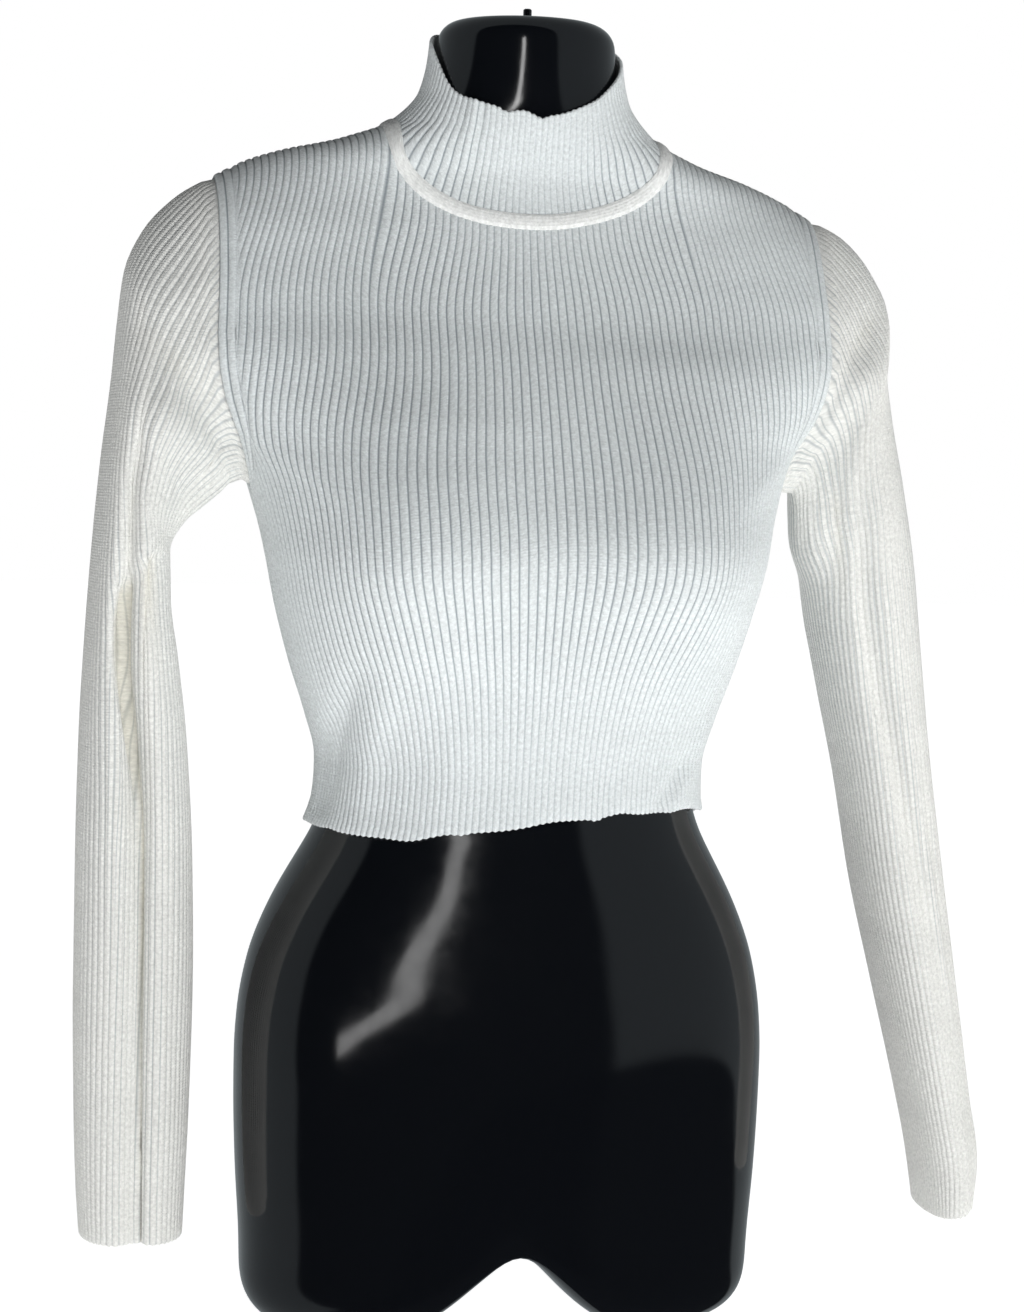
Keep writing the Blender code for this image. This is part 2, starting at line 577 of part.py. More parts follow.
def sleeve_rings(side, table, ring_count):
    """Middle surface of a sleeve as rings, from the armhole to the cuff."""
    rows = named_columns(SLEEVE_COLUMNS, table)
    middle = np.stack((
        rows["outer_x"] + rows["inner_x"],
        rows["outer_z"] + rows["inner_z"],
    ), axis=-1) * 0.5
    steps = np.linalg.norm(np.diff(middle, axis=0), axis=1)
    places = np.concatenate(([0.0], np.cumsum(steps))) / steps.sum()
    wanted = np.linspace(0.0, 1.0, ring_count) ** RING_CROWDING
    row = {name: smooth_curve(places, rows[name])(wanted)[:, None] for name in SLEEVE_COLUMNS}

    loop_angles, loop_heights = armhole_loop(side)
    start = cloth_point(loop_angles, loop_heights, 0.5 * CLOTH_WALL)
    turn = 2.0 * math.pi * np.arange(len(start)) / len(start)
    cosine, sine = np.cos(turn), np.sin(turn)
    bend = 2.0 / SLEEVE_SQUARENESS
    along = np.sign(cosine) * np.abs(cosine) ** bend
    outward = np.sign(sine) * np.abs(sine) ** bend
    x = 0.5 * (row["outer_x"] + row["inner_x"]) + 0.5 * (row["outer_x"] - row["inner_x"]) * along
    z = 0.5 * (row["outer_z"] + row["inner_z"]) + 0.5 * (row["outer_z"] - row["inner_z"]) * along
    reach = np.where(sine > 0.0, -row["front"], row["back"]) * np.abs(outward)
    crease = np.exp(-(((along - row["fold_at"]) / FOLD_SPREAD) ** 2))
    reach = reach + np.where(sine > 0.0, row["fold"], -row["back_fold"]) * crease
    y = row["mid_y"] + reach
    rings = np.stack((side * x, y, z), axis=-1)

    hold = 1.0 - smooth_step(0.0, SLEEVE_BLEND, wanted)[:, None, None]
    rings = rings + hold * (start - rings[0])
    near_underarm = smooth_step(0.2, -1.0, along)[:, None]
    away = unit(rings[1] - start) + near_underarm * form_normal(loop_angles, loop_heights)
    rings[0] = start + unit(away) * (2.0 * SEAM_GAP + CLOTH_WALL * near_underarm)
    return rings


def grid_normals(grid, closed):
    """Unit normals of a grid of points, from its rows and columns."""
    along = np.empty_like(grid)
    if closed:
        along = np.roll(grid, -1, axis=1) - np.roll(grid, 1, axis=1)
    else:
        along[:, 1:-1] = grid[:, 2:] - grid[:, :-2]
        along[:, 0] = grid[:, 1] - grid[:, 0]
        along[:, -1] = grid[:, -1] - grid[:, -2]
    up = np.empty_like(grid)
    up[1:-1] = grid[2:] - grid[:-2]
    up[0] = grid[1] - grid[0]
    up[-1] = grid[-1] - grid[-2]
    return unit(np.cross(along, up))


def sleeve_wall(side, table):
    """Outer and inner grids of a sleeve."""
    rings = sleeve_rings(side, table, SLEEVE_ROWS + 1)
    if side > 0:
        rings = rings[:, ::-1]
    normals = -grid_normals(rings, closed=True)
    half = 0.5 * CLOTH_WALL
    outer = rings + half * normals
    inner = rings - half * normals
    return outer[::-1], inner[::-1]


# ---------------------------------------------------------------- meshes

def plain_material(name, colour, roughness):
    """Principled material of one colour."""
    material = bpy.data.materials.new(name)
    material.use_nodes = True
    shader = material.node_tree.nodes["Principled BSDF"]
    shader.inputs["Base Color"].default_value = (*colour, 1.0)
    shader.inputs["Roughness"].default_value = roughness
    shader.inputs["Metallic"].default_value = 0.0
    material.diffuse_color = (*colour, 1.0)
    return material


def add_object(name, mesh_builder, material):
    """Make an object from a bmesh, shade it smooth and give it its material."""
    bmesh.ops.triangulate(mesh_builder, faces=mesh_builder.faces[:], quad_method="SHORT_EDGE")
    mesh = bpy.data.meshes.new(name)
    mesh_builder.normal_update()
    mesh_builder.to_mesh(mesh)
    mesh_builder.free()
    mesh.shade_smooth()
    mesh.set_sharp_from_angle(angle=SHARP_ANGLE)
    mesh.materials.append(material)
    made = bpy.data.objects.new(name, mesh)
    bpy.context.scene.collection.objects.link(made)
    return made


def add_points(builder, grid):
    """Add a grid of vertices and return them in the same layout."""
    return [[builder.verts.new(point) for point in row] for row in grid]


def add_strip(builder, lower, upper, closed):
    """Join two rows of vertices with quads that face their right-hand side."""
    count = len(lower)
    last = count if closed else count - 1
    for index in range(last):
        after = (index + 1) % count
        builder.faces.new((lower[index], lower[after], upper[after], upper[index]))


def wall_mesh(outer, inner, closed):
    """Close two facing grids into one thin solid wall."""
    builder = bmesh.new()
    outer_rows = add_points(builder, outer)
    inner_rows = add_points(builder, inner)
    for index in range(len(outer_rows) - 1):
        add_strip(builder, outer_rows[index], outer_rows[index + 1], closed)
    for index in range(len(inner_rows) - 1):
        add_strip(builder, inner_rows[index + 1], inner_rows[index], closed)
    add_strip(builder, inner_rows[0], outer_rows[0], closed)
    add_strip(builder, outer_rows[-1], inner_rows[-1], closed)
    if not closed:
        left_outer = [row[0] for row in outer_rows]
        left_inner = [row[0] for row in inner_rows]
        right_outer = [row[-1] for row in outer_rows]
        right_inner = [row[-1] for row in inner_rows]
        add_strip(builder, left_outer, left_inner, False)
        add_strip(builder, right_inner, right_outer, False)
    return builder


# ---------------------------------------------------------------- the form

def form_ring_heights():
    """Heights of the form's rings with the inset of its rounded ends."""
    turn = np.linspace(0.0, 0.5 * math.pi, ROUNDING_STEPS + 1)
    foot = list(zip(FOOT_ROUNDING * (1.0 - np.cos(turn)), FOOT_ROUNDING * (1.0 - np.sin(turn))))
    dense = np.linspace(FOOT_ROUNDING, FORM_HEIGHT - NECK_ROUNDING, FORM_PROFILE_SAMPLES)
    profile = np.stack((half_width_at(dense), dense), axis=-1)
    places = spread_along(profile, FORM_BODY_RINGS)[1:-1]
    body = [(height, 0.0) for height in np.interp(places, np.arange(len(dense)), dense)]
    top_heights = FORM_HEIGHT - NECK_ROUNDING * (1.0 - np.sin(turn))
    top = list(zip(top_heights, NECK_ROUNDING * (1.0 - np.cos(turn))))
    return foot + body + top


def form_ring_angles(height):
    """Angles round a ring, closer together where the ring turns tightly."""
    turn = 2.0 * math.pi * np.arange(FORM_SIDES) / FORM_SIDES
    depth = 0.5 * (front_at(height) + back_at(height))
    return np.arctan2(depth * np.sin(turn), half_width_at(height) * np.cos(turn))


def notch_lift(point):
    """Raise the underside between the two thigh stubs."""
    share = min(abs(point[0]) / NOTCH_HALF_WIDTH, 1.0)
    profile = (1.0 - share**NOTCH_FLARE) ** NOTCH_NARROWNESS
    fade = max(0.0, 1.0 - point[2] / NOTCH_FADE) ** 2
    return (point[0], point[1], point[2] + NOTCH_DEPTH * profile * fade)


def close_ring(builder, ring, columns, upward):
    """Fill a ring with lines that run from its front half to its back half."""
    count = len(ring)
    half = count // 2
    lines = [[ring[0]] * (columns + 1)]
    for index in range(1, half):
        front, back = ring[count - index], ring[index]
        line = [front]
        for step in range(1, columns):
            share = step / columns
            line.append(builder.verts.new(front.co.lerp(back.co, share)))
        line.append(back)
        lines.append(line)
    lines.append([ring[half]] * (columns + 1))
    for first, second in zip(lines, lines[1:]):
        for step in range(columns):
            corners = [first[step], first[step + 1], second[step + 1], second[step]]
            face = list(dict.fromkeys(corners))
            if not upward:
                face.reverse()
            builder.faces.new(face)


def make_form(material):
    """The torso: neck, shoulders, bust, waist, hips and two thigh stubs."""
    builder = bmesh.new()
    rings = []
    for height, inset in form_ring_heights():
        angles = form_ring_angles(height)
        points = form_point(angles, np.full_like(angles, height), inset)
        rings.append([builder.verts.new(point) for point in points])
    for lower, upper in zip(rings, rings[1:]):
        add_strip(builder, lower, upper, True)
    close_ring(builder, rings[0], FOOT_FILL_COLUMNS, False)
    close_ring(builder, rings[-1], NECK_FILL_COLUMNS, True)
    for vertex in builder.verts:
        vertex.co = notch_lift(vertex.co)
    return add_object("dress_form", builder, material)


def make_hook_stub(material):
    """The turned stub on top of the neck: a low base and a short pin."""
    outline = (
        (0.0, 0.0),
        (STUB_BASE_RADIUS, 0.0),
        (STUB_BASE_RADIUS, 0.5 * STUB_BASE_HEIGHT),
        (STUB_BASE_RADIUS - 0.5 * STUB_BASE_HEIGHT, STUB_BASE_HEIGHT),
        (STUB_RADIUS, STUB_BASE_HEIGHT),
        (STUB_RADIUS, STUB_HEIGHT - STUB_ROUNDING),
        (STUB_RADIUS - STUB_ROUNDING, STUB_HEIGHT),
        (0.0, STUB_HEIGHT),
    )
    builder = bmesh.new()
    foot = FORM_HEIGHT + SEAM_GAP
    centre_y = float(centre_y_at(FORM_HEIGHT))
    points = [builder.verts.new((radius, centre_y, foot + rise)) for radius, rise in outline]
    edges = [builder.edges.new(pair) for pair in zip(points, points[1:])]
    bmesh.ops.spin(
        builder,
        geom=points + edges,
        cent=(0.0, centre_y, foot),
        axis=(0.0, 0.0, 1.0),
        angle=2.0 * math.pi,
        steps=STUB_SIDES,
    )
    bmesh.ops.remove_doubles(builder, verts=builder.verts[:], dist=1e-6)
    bmesh.ops.recalc_face_normals(builder, faces=builder.faces[:])
    return add_object("neck_hook_stub", builder, material)


# ---------------------------------------------------------------- build

def clear_scene():
    """Remove whatever the scene holds."""
    for old in list(bpy.data.objects):
        bpy.data.objects.remove(old, do_unlink=True)


def main():
    clear_scene()
    stand = bpy.data.objects.new("stand_place", None)
    stand.location = STAND_SHIFT
    bpy.context.scene.collection.objects.link(stand)
    knit = plain_material("ivory_rib_knit", (0.74, 0.75, 0.73), 0.9)
    plastic = plain_material("black_moulded_plastic", (0.012, 0.013, 0.016), 0.18)
    make_form(plastic)
    make_hook_stub(plastic)
    for name, face in (("front_panel", FRONT), ("back_panel", BACK)):
        outer, inner = panel_wall(face)
        add_object(name, wall_mesh(outer, inner, False), knit)
    outer, inner = collar_wall()
    add_object("collar", wall_mesh(outer, inner, True), knit)
    outer, inner = neck_band_wall()
    add_object("neck_band", wall_mesh(outer, inner, True), knit)
    for name, side, table in (
        ("sleeve_left", -1, LEFT_SLEEVE_ROWS),
        ("sleeve_right", 1, RIGHT_SLEEVE_ROWS),
    ):
        outer, inner = sleeve_wall(side, table)
        add_object(name, wall_mesh(outer, inner, True), knit)
    for made in bpy.context.scene.objects:
        if made is not stand:
            made.parent = stand


main()
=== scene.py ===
"""Finish of a long-sleeve mock-neck crop top in white rib knit, worn by a glossy torso form.

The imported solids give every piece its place. Each knit piece is laid out again on the
same surface as a thin shell with real ribs, soft creases and raw edges, and the torso
form gets a smoother skin and its gloss.

Angles run round the form: 0 at +X, a quarter turn at the back, half a turn at -X, and
minus a quarter turn at the front. Lengths are in metres.
"""

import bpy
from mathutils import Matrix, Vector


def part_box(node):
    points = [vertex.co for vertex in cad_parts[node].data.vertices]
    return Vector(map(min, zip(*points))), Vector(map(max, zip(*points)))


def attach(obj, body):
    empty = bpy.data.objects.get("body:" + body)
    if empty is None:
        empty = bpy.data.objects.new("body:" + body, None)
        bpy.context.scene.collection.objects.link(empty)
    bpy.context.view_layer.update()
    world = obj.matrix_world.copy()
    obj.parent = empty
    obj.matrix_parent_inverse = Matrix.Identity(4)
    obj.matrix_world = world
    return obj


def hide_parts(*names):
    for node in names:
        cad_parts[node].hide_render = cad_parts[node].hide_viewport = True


bl_info = {
    "name": "Rib-knit crop top on a torso form",
    "version": (1, 0, 0),
    "blender": (4, 5, 0),
    "location": "View3D > Sidebar > Crop Top",
    "description": "Builds the finish of a mock-neck crop top and the form that wears it",
    "category": "Object",
}

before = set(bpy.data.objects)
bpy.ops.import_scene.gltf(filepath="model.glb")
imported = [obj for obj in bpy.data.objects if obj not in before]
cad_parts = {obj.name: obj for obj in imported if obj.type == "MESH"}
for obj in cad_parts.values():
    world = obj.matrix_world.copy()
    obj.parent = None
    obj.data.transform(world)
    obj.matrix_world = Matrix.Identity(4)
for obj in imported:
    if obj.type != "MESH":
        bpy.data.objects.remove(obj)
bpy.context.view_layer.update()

import math
from functools import partial

import bmesh
import bpy
import numpy as np
from mathutils import Matrix, Quaternion, Vector

# ---------------------------------------------------------------- where things stand

FORM_LOW, FORM_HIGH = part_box("dress_form")
STUB_LOW, STUB_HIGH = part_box("neck_hook_stub")
NECK_CENTRE_Y = -0.004     # the neck's top leans this far forward of the form's middle
MIDDLE = np.array((
    0.5 * (FORM_LOW.x + FORM_HIGH.x),
    0.5 * (STUB_LOW.y + STUB_HIGH.y) - NECK_CENTRE_Y,
    0.0,
))

# ---------------------------------------------------------------- driving sizes

CLOTH_WALL = 0.0018        # thickness of the knit
CLOTH_CLEARANCE = 0.0020   # from the form to the inner face of the cloth
SEAM_GAP = 0.0003          # between two pieces that are sewn together

FORM_HEIGHT = FORM_HIGH.z
FOOT_ROUNDING = 0.027
NECK_ROUNDING = 0.011
NOTCH_DEPTH = 0.056
NOTCH_HALF_WIDTH = 0.078
NOTCH_FLARE = 1.2
NOTCH_NARROWNESS = 2.1
NOTCH_FADE = 0.110
ROUNDING_RINGS = 5         # rings of the cage round each rounded end of the form
BODY_RINGS = 64            # and between them
FOOT_COLUMNS = 10          # squares across the foot and across the neck's top
NECK_COLUMNS = 6

BUST_HEIGHT = 0.437
BUST_HALF_SPACING = 0.078
BUST_RISE = 0.024
BUST_SPREAD = 0.040
BUST_SPREAD_UP = 0.055
BUST_SPREAD_DOWN = 0.034
BUST_SIDE_FADE = 0.7
RIGHT_SHOULDER_DROP = 0.007    # the shoulders aren't level
LEFT_SHOULDER_RISE = 0.003
RIGHT_SHOULDER_SPAN = (0.02, 0.11)   # sideways, each change grows over these spans
LEFT_SHOULDER_SPAN = (0.10, 0.16)
SHOULDER_SPAN_UP = (0.54, 0.63)      # and upwards over this one

UNDERARM_HEIGHT = 0.478
CHEST_HEIGHT = 0.560       # above this the ribs stand upright
NECK_POINT_HALF_WIDTH = 0.080
FRONT_NECK_DROP = 0.0555
BACK_NECK_DROP = 0.0120
BAND_WIDTH = 0.008
BAND_THICKNESS = 0.0034
BAND_LIP = 0.0006          # how far the band's roll reaches over the pieces beside it
BAND_EDGE = 0.0019         # height of that lip
BAND_ROUNDNESS = 0.9       # below 1 the roll is fuller than a half circle
BAND_UNEVEN = 0.06         # share by which the roll swells and thins
BAND_WAVES = ((37.0, 0.0), (11.0, 0.7))   # waves round the neck, with their starts
BAND_STEPS = 360           # columns round the band, and rows across it
BAND_ROWS = 11
BAND_STEPS_PER_RIB = 4.0   # columns of the band that its UV map counts as one rib
COLLAR_TOP_SIDE = 0.7265
COLLAR_TOP_TILT = 0.025
COLLAR_TOP_DIP = 0.0165
RIDGE_HEIGHTS = (0.600, 0.690)   # the shoulder ridge lies between these
LOWEST_LEVEL = 0.270       # just under the lowest point of either hem

FRONT = -1
BACK = 1
NECKLINE_SQUARENESS = {FRONT: (2.4, 1.95), BACK: (2.0, 2.0)}   # left, right

# ---------------------------------------------------------------- ribs

RIB_PHASES = (0.0, 0.12, 0.26, 0.50, 0.74, 0.88)   # columns across one rib
RIB_RELIEF = (0.0, 0.52, 0.94, 1.00, 0.94, 0.52)   # how far each stands out, 0 to 1
RELIEF_LEVEL = 0.6         # the relief that lies on the solid's own face
SLEEVE_RIB_SHARE = 0.9     # share of the panels' rib depth on the sleeves
COLLAR_RIB_SHARE = 0.85    # and on the collar
BORDER_RIBS = 2            # ribs that follow the armhole's edge
MERGING_RIBS = 4           # ribs by each shoulder that run into those
RIB_END_FADE = 0.9         # share of a pitch over which a rib that runs in loses its relief
CROWDING_RISE = 0.012      # ribs begin to run in over this height above the underarm
CHEST_PITCH = 0.00441      # from rib to rib across the chest
UPPER_PITCHES = ((0.518, 0.985), (CHEST_HEIGHT, 0.955))   # height, share of the underarm's
EDGE_ROLL = 0.0009         # radius of a raw or sewn edge
EDGE_PLACES = (0.0, 0.12, 0.45, 1.0)   # rows within that radius
SEAM_SINK = 0.0007         # how far a rib's end dips into a seam
GROOVE_SINK = 0.35         # and a groove's end, as a share of that
EDGE_SCALLOP = 0.0007      # how far the end of each rib hangs past its grooves
SCALLOP_REACH = 0.006      # length over which that begins
OPENING_PITCHES = (0.0033, 0.0047)   # ribs this far apart are at rest, or wide open
LEAN_START = 0.15          # part of the way up to the shoulder where the ribs start to lean

PANEL_ROWS = 72            # rows of a panel, a sleeve and the collar
SLEEVE_RINGS = 100
COLLAR_ROWS = 22
LOWER_ROWS = 0.64          # share of a panel's rows that lie below the chest
DENSE_SAMPLES = 240        # samples along a line before it is divided evenly
PANEL_LEVELS = 180         # heights below the chest at which the ribs are placed
PITCH_LEVELS = 9           # heights below the underarm at which their pitch is measured
SLEEVE_SAMPLES = 721       # samples round a ring before its ribs are placed
NECK_SAMPLES = 1441        # and round the neck
RIDGE_SAMPLES = 400        # heights at which the shoulder ridge is looked up
MERGE_DISTANCE = 2e-6      # corners closer than this are one corner

# The form: height, half width, reach in front and behind, middle's Y and squareness.
FORM_ROWS = (
    (0.000, 0.1480, 0.078, 0.082, 0.000, 2.4),
    (0.045, 0.1490, 0.083, 0.088, 0.000, 2.4),
    (0.090, 0.1520, 0.088, 0.098, 0.000, 2.35),
    (0.130, 0.1535, 0.091, 0.104, 0.000, 2.3),
    (0.155, 0.1537, 0.092, 0.104, 0.000, 2.3),
    (0.180, 0.1525, 0.091, 0.100, 0.000, 2.25),
    (0.210, 0.1475, 0.088, 0.091, 0.000, 2.2),
    (0.240, 0.1365, 0.084, 0.081, -0.001, 2.2),
    (0.265, 0.1235, 0.080, 0.073, -0.003, 2.15),
    (0.285, 0.1125, 0.077, 0.068, -0.005, 2.1),
    (0.305, 0.1060, 0.075, 0.065, -0.006, 2.1),
    (0.325, 0.1045, 0.075, 0.065, -0.008, 2.1),
    (0.350, 0.1110, 0.077, 0.069, -0.012, 2.15),
    (0.380, 0.1205, 0.083, 0.078, -0.016, 2.2),
    (0.410, 0.1285, 0.088, 0.088, -0.020, 2.3),
    (0.440, 0.1360, 0.091, 0.096, -0.022, 2.3),
    (0.465, 0.1410, 0.090, 0.100, -0.018, 2.3),
    (0.500, 0.1515, 0.085, 0.102, -0.010, 2.4),
    (0.525, 0.1720, 0.081, 0.101, -0.004, 2.4),
    (0.550, 0.1930, 0.075, 0.097, 0.002, 2.4),
    (0.570, 0.2055, 0.070, 0.092, 0.008, 2.35),
    (0.590, 0.2110, 0.066, 0.087, 0.012, 2.3),
    (0.605, 0.2090, 0.063, 0.082, 0.015, 2.25),
    (0.620, 0.2000, 0.060, 0.077, 0.017, 2.2),
    (0.635, 0.1845, 0.056, 0.070, 0.018, 2.1),
    (0.650, 0.1600, 0.052, 0.060, 0.016, 2.0),
    (0.660, 0.1350, 0.050, 0.053, 0.012, 2.0),
    (0.670, 0.1010, 0.049, 0.049, 0.008, 2.0),
    (0.680, 0.0745, 0.048, 0.047, 0.004, 2.0),
    (0.700, 0.0560, 0.047, 0.046, 0.000, 2.0),
    (0.720, 0.0515, 0.046, 0.045, -0.002, 2.0),
    (0.7405, 0.0500, 0.045, 0.044, -0.004, 2.0),
)

# How far the cloth stands off the form beyond its clearance: height, then how far in
# front, behind, at the left and at the right.
HANG_ROWS = (
    (0.270, 0.0105, 0.0330, 0.0020, 0.0010),
    (0.300, 0.0120, 0.0350, 0.0020, 0.0015),
    (0.325, 0.0130, 0.0330, 0.0022, 0.0025),
    (0.350, 0.0120, 0.0280, 0.0030, 0.0012),
    (0.380, 0.0080, 0.0190, 0.0040, 0.0010),
    (0.410, 0.0030, 0.0110, 0.0045, 0.0004),
    (0.440, 0.0006, 0.0045, 0.0034, 0.0004),
    (0.478, 0.0004, 0.0010, 0.0050, 0.0008),
    (0.500, 0.0006, 0.0009, 0.0055, 0.0014),
    (0.530, 0.0008, 0.0008, 0.0026, 0.0012),
    (0.575, 0.0003, 0.0003, 0.0008, 0.0008),
    (0.615, 0.0000, 0.0000, 0.0000, 0.0000),
)

# Ribs in the middle of a panel are drawn apart by a share, and those at its sides are
# crowded as much: height, share.
SPREAD_ROWS = (
    (0.270, 0.000),
    (0.370, 0.010),
    (0.415, 0.070),
    (0.437, 0.120),
    (0.500, 0.120),
    (0.560, 0.090),
    (0.640, 0.000),
)

# Height of the hem across each panel, from -1 at the left seam to 1 at the right.
HEM_ACROSS = (-1.0, -0.7, -0.4, 0.0, 0.35, 0.7, 1.0)
HEM_HEIGHTS = {
    FRONT: (0.2880, 0.2868, 0.2910, 0.2965, 0.3020, 0.3020, 0.2960),
    BACK: (0.2880, 0.2830, 0.2800, 0.2780, 0.2770, 0.2790, 0.2960),
}

# Small ripples of that hem: place across the panel, how wide, rise.
HEM_RIPPLES = {
    FRONT: (
        (-0.88, 0.050, 0.0008),
        (-0.50, 0.090, -0.0026),
        (-0.31, 0.030, -0.0009),
        (0.05, 0.110, 0.0022),
        (0.24, 0.030, -0.0014),
        (0.36, 0.055, 0.0014),
        (0.62, 0.035, -0.0008),
    ),
    BACK: (
        (-0.60, 0.050, 0.0010),
        (-0.25, 0.080, -0.0014),
        (0.12, 0.060, 0.0010),
        (0.45, 0.040, -0.0012),
        (0.75, 0.060, 0.0012),
    ),
}

# Where the armhole cuts each panel: height, then the front's and the back's half width
# there, measured on the form.
ARMHOLE_ROWS = (
    (0.478, 0.1442, 0.1442),
    (0.480, 0.1446, 0.1446),
    (0.484, 0.1455, 0.1454),
    (0.490, 0.1470, 0.1467),
    (0.4975, 0.1492, 0.1486),
    (0.505, 0.1522, 0.1512),
    (0.515, 0.1581, 0.1569),
    (0.525, 0.1637, 0.1623),
    (0.535, 0.1674, 0.1661),
    (0.545, 0.1700, 0.1690),
    (0.560, 0.1720, 0.1720),
)

# Rings of a sleeve from the armhole to the cuff. outer and inner are the two ends of
# the ring seen from the front, front and back its reach in Y from mid_y, and fold the
# depth of the crease pressed into its front at fold_at (-1 inner end, 1 outer end).
SLEEVE_COLUMNS = (
    "outer_x", "outer_z", "inner_x", "inner_z",
    "mid_y", "front", "back", "fold", "fold_at", "back_fold",
)
SLEEVE_ROWS = {
    -1: (
        (0.1760, 0.6500, 0.1490, 0.4795, 0.016, 0.064, 0.078, 0.000, 0.10, 0.000),
        (0.1955, 0.6380, 0.1550, 0.4830, 0.015, 0.062, 0.076, 0.000, 0.10, 0.000),
        (0.2135, 0.6185, 0.1620, 0.4815, 0.013, 0.060, 0.074, 0.000, 0.10, 0.000),
        (0.2232, 0.5955, 0.1680, 0.4750, 0.011, 0.059, 0.071, 0.000, 0.10, 0.000),
        (0.2260, 0.5690, 0.1770, 0.4670, 0.010, 0.059, 0.067, 0.001, 0.10, 0.000),
        (0.2285, 0.5350, 0.1870, 0.4580, 0.009, 0.058, 0.062, 0.004, 0.10, 0.002),
        (0.2325, 0.4950, 0.1960, 0.4400, 0.008, 0.056, 0.058, 0.008, 0.15, 0.004),
        (0.2365, 0.4450, 0.1955, 0.4130, 0.008, 0.054, 0.055, 0.012, 0.20, 0.006),
        (0.2400, 0.3920, 0.1905, 0.3780, 0.008, 0.050, 0.051, 0.015, 0.23, 0.007),
        (0.2425, 0.3350, 0.1848, 0.3310, 0.008, 0.046, 0.047, 0.016, 0.10, 0.007),
        (0.2435, 0.2650, 0.1805, 0.2640, 0.008, 0.042, 0.043, 0.014, 0.03, 0.006),
        (0.2435, 0.1950, 0.1790, 0.1945, 0.008, 0.039, 0.040, 0.012, 0.01, 0.005),
        (0.2423, 0.1250, 0.1800, 0.1248, 0.008, 0.037, 0.038, 0.010, 0.00, 0.004),
        (0.2405, 0.0790, 0.1815, 0.0788, 0.008, 0.036, 0.037, 0.009, 0.00, 0.004),
        (0.2385, 0.0515, 0.1825, 0.0515, 0.008, 0.035, 0.036, 0.008, 0.00, 0.004),
    ),
    1: (
        (0.1745, 0.6405, 0.1490, 0.4795, 0.016, 0.064, 0.078, 0.000, -0.30, 0.000),
        (0.1925, 0.6320, 0.1545, 0.4830, 0.015, 0.062, 0.076, 0.000, -0.30, 0.000),
        (0.2090, 0.6140, 0.1615, 0.4830, 0.013, 0.060, 0.074, 0.000, -0.30, 0.000),
        (0.2180, 0.5930, 0.1645, 0.4740, 0.011, 0.059, 0.071, 0.000, -0.30, 0.000),
        (0.2160, 0.5700, 0.1660, 0.4620, 0.010, 0.059, 0.067, 0.001, -0.30, 0.000),
        (0.2200, 0.5350, 0.1690, 0.4480, 0.009, 0.058, 0.062, 0.003, -0.35, 0.002),
        (0.2270, 0.4950, 0.1795, 0.4250, 0.008, 0.056, 0.058, 0.006, -0.40, 0.004),
        (0.2360, 0.4450, 0.1870, 0.3950, 0.008, 0.053, 0.055, 0.008, -0.40, 0.005),
        (0.2432, 0.3920, 0.1950, 0.3590, 0.008, 0.049, 0.051, 0.008, -0.35, 0.006),
        (0.2507, 0.3350, 0.2055, 0.3140, 0.008, 0.046, 0.048, 0.006, -0.20, 0.005),
        (0.2617, 0.2650, 0.2172, 0.2530, 0.008, 0.044, 0.045, 0.004, 0.00, 0.004),
        (0.2732, 0.1950, 0.2340, 0.1870, 0.008, 0.042, 0.043, 0.003, 0.20, 0.003),
        (0.2845, 0.1250, 0.2513, 0.1210, 0.008, 0.040, 0.041, 0.003, 0.40, 0.003),
        (0.2912, 0.0850, 0.2610, 0.0785, 0.008, 0.038, 0.039, 0.003, 0.45, 0.003),
        (0.2890, 0.0580, 0.2660, 0.0510, 0.008, 0.036, 0.037, 0.003, 0.45, 0.003),
    ),
}
SLEEVE_SQUARENESS = 2.3
SLEEVE_BLEND = 0.30        # share of a sleeve's length that still follows the armhole
RING_CROWDING = 1.25       # above 1 a sleeve's rings crowd towards the shoulder
RIB_FREEDOM = 0.34         # share of a sleeve's length at which its ribs lie evenly
SEAM_TURN = 0.004          # length over which a sleeve's wall turns in line with the panel
SEAM_FADE = 0.025          # length over which the clearance at an armhole dies away
SEAM_STEP = 1.1            # walls by which a sleeve that leans over its seam steps off it
CLEAR_RING = 3             # the first ring that shows which way a sleeve leaves its seam
SEAM_LAP = 0.0011          # how far a sleeve's edge is tucked under the panel's
SEAM_TUCK = ((-0.0003, -0.0010), (0.0002, -0.0006))   # outer and inner faces of that edge
FOLD_SPREAD = 0.24         # half width of the main crease, as a share of the ring

# Where a sleeve's ribs meet the armhole: a rib's share of the way round from the
# shoulder tip to the underarm, then its share along the armhole seam and along a line
# beside it.
CAP_ROWS = (
    (0.00, 0.000, 0.00),
    (0.15, 0.050, 0.13),
    (0.33, 0.157, 0.32),
    (0.43, 0.250, 0.45),
    (0.53, 0.380, 0.58),
    (0.63, 0.560, 0.70),
    (0.72, 0.760, 0.80),
    (0.82, 0.900, 0.89),
    (1.00, 1.000, 1.00),
)
CAP_DISTANCES = {-1: (0.014, 0.140), 1: (0.014, 0.120)}

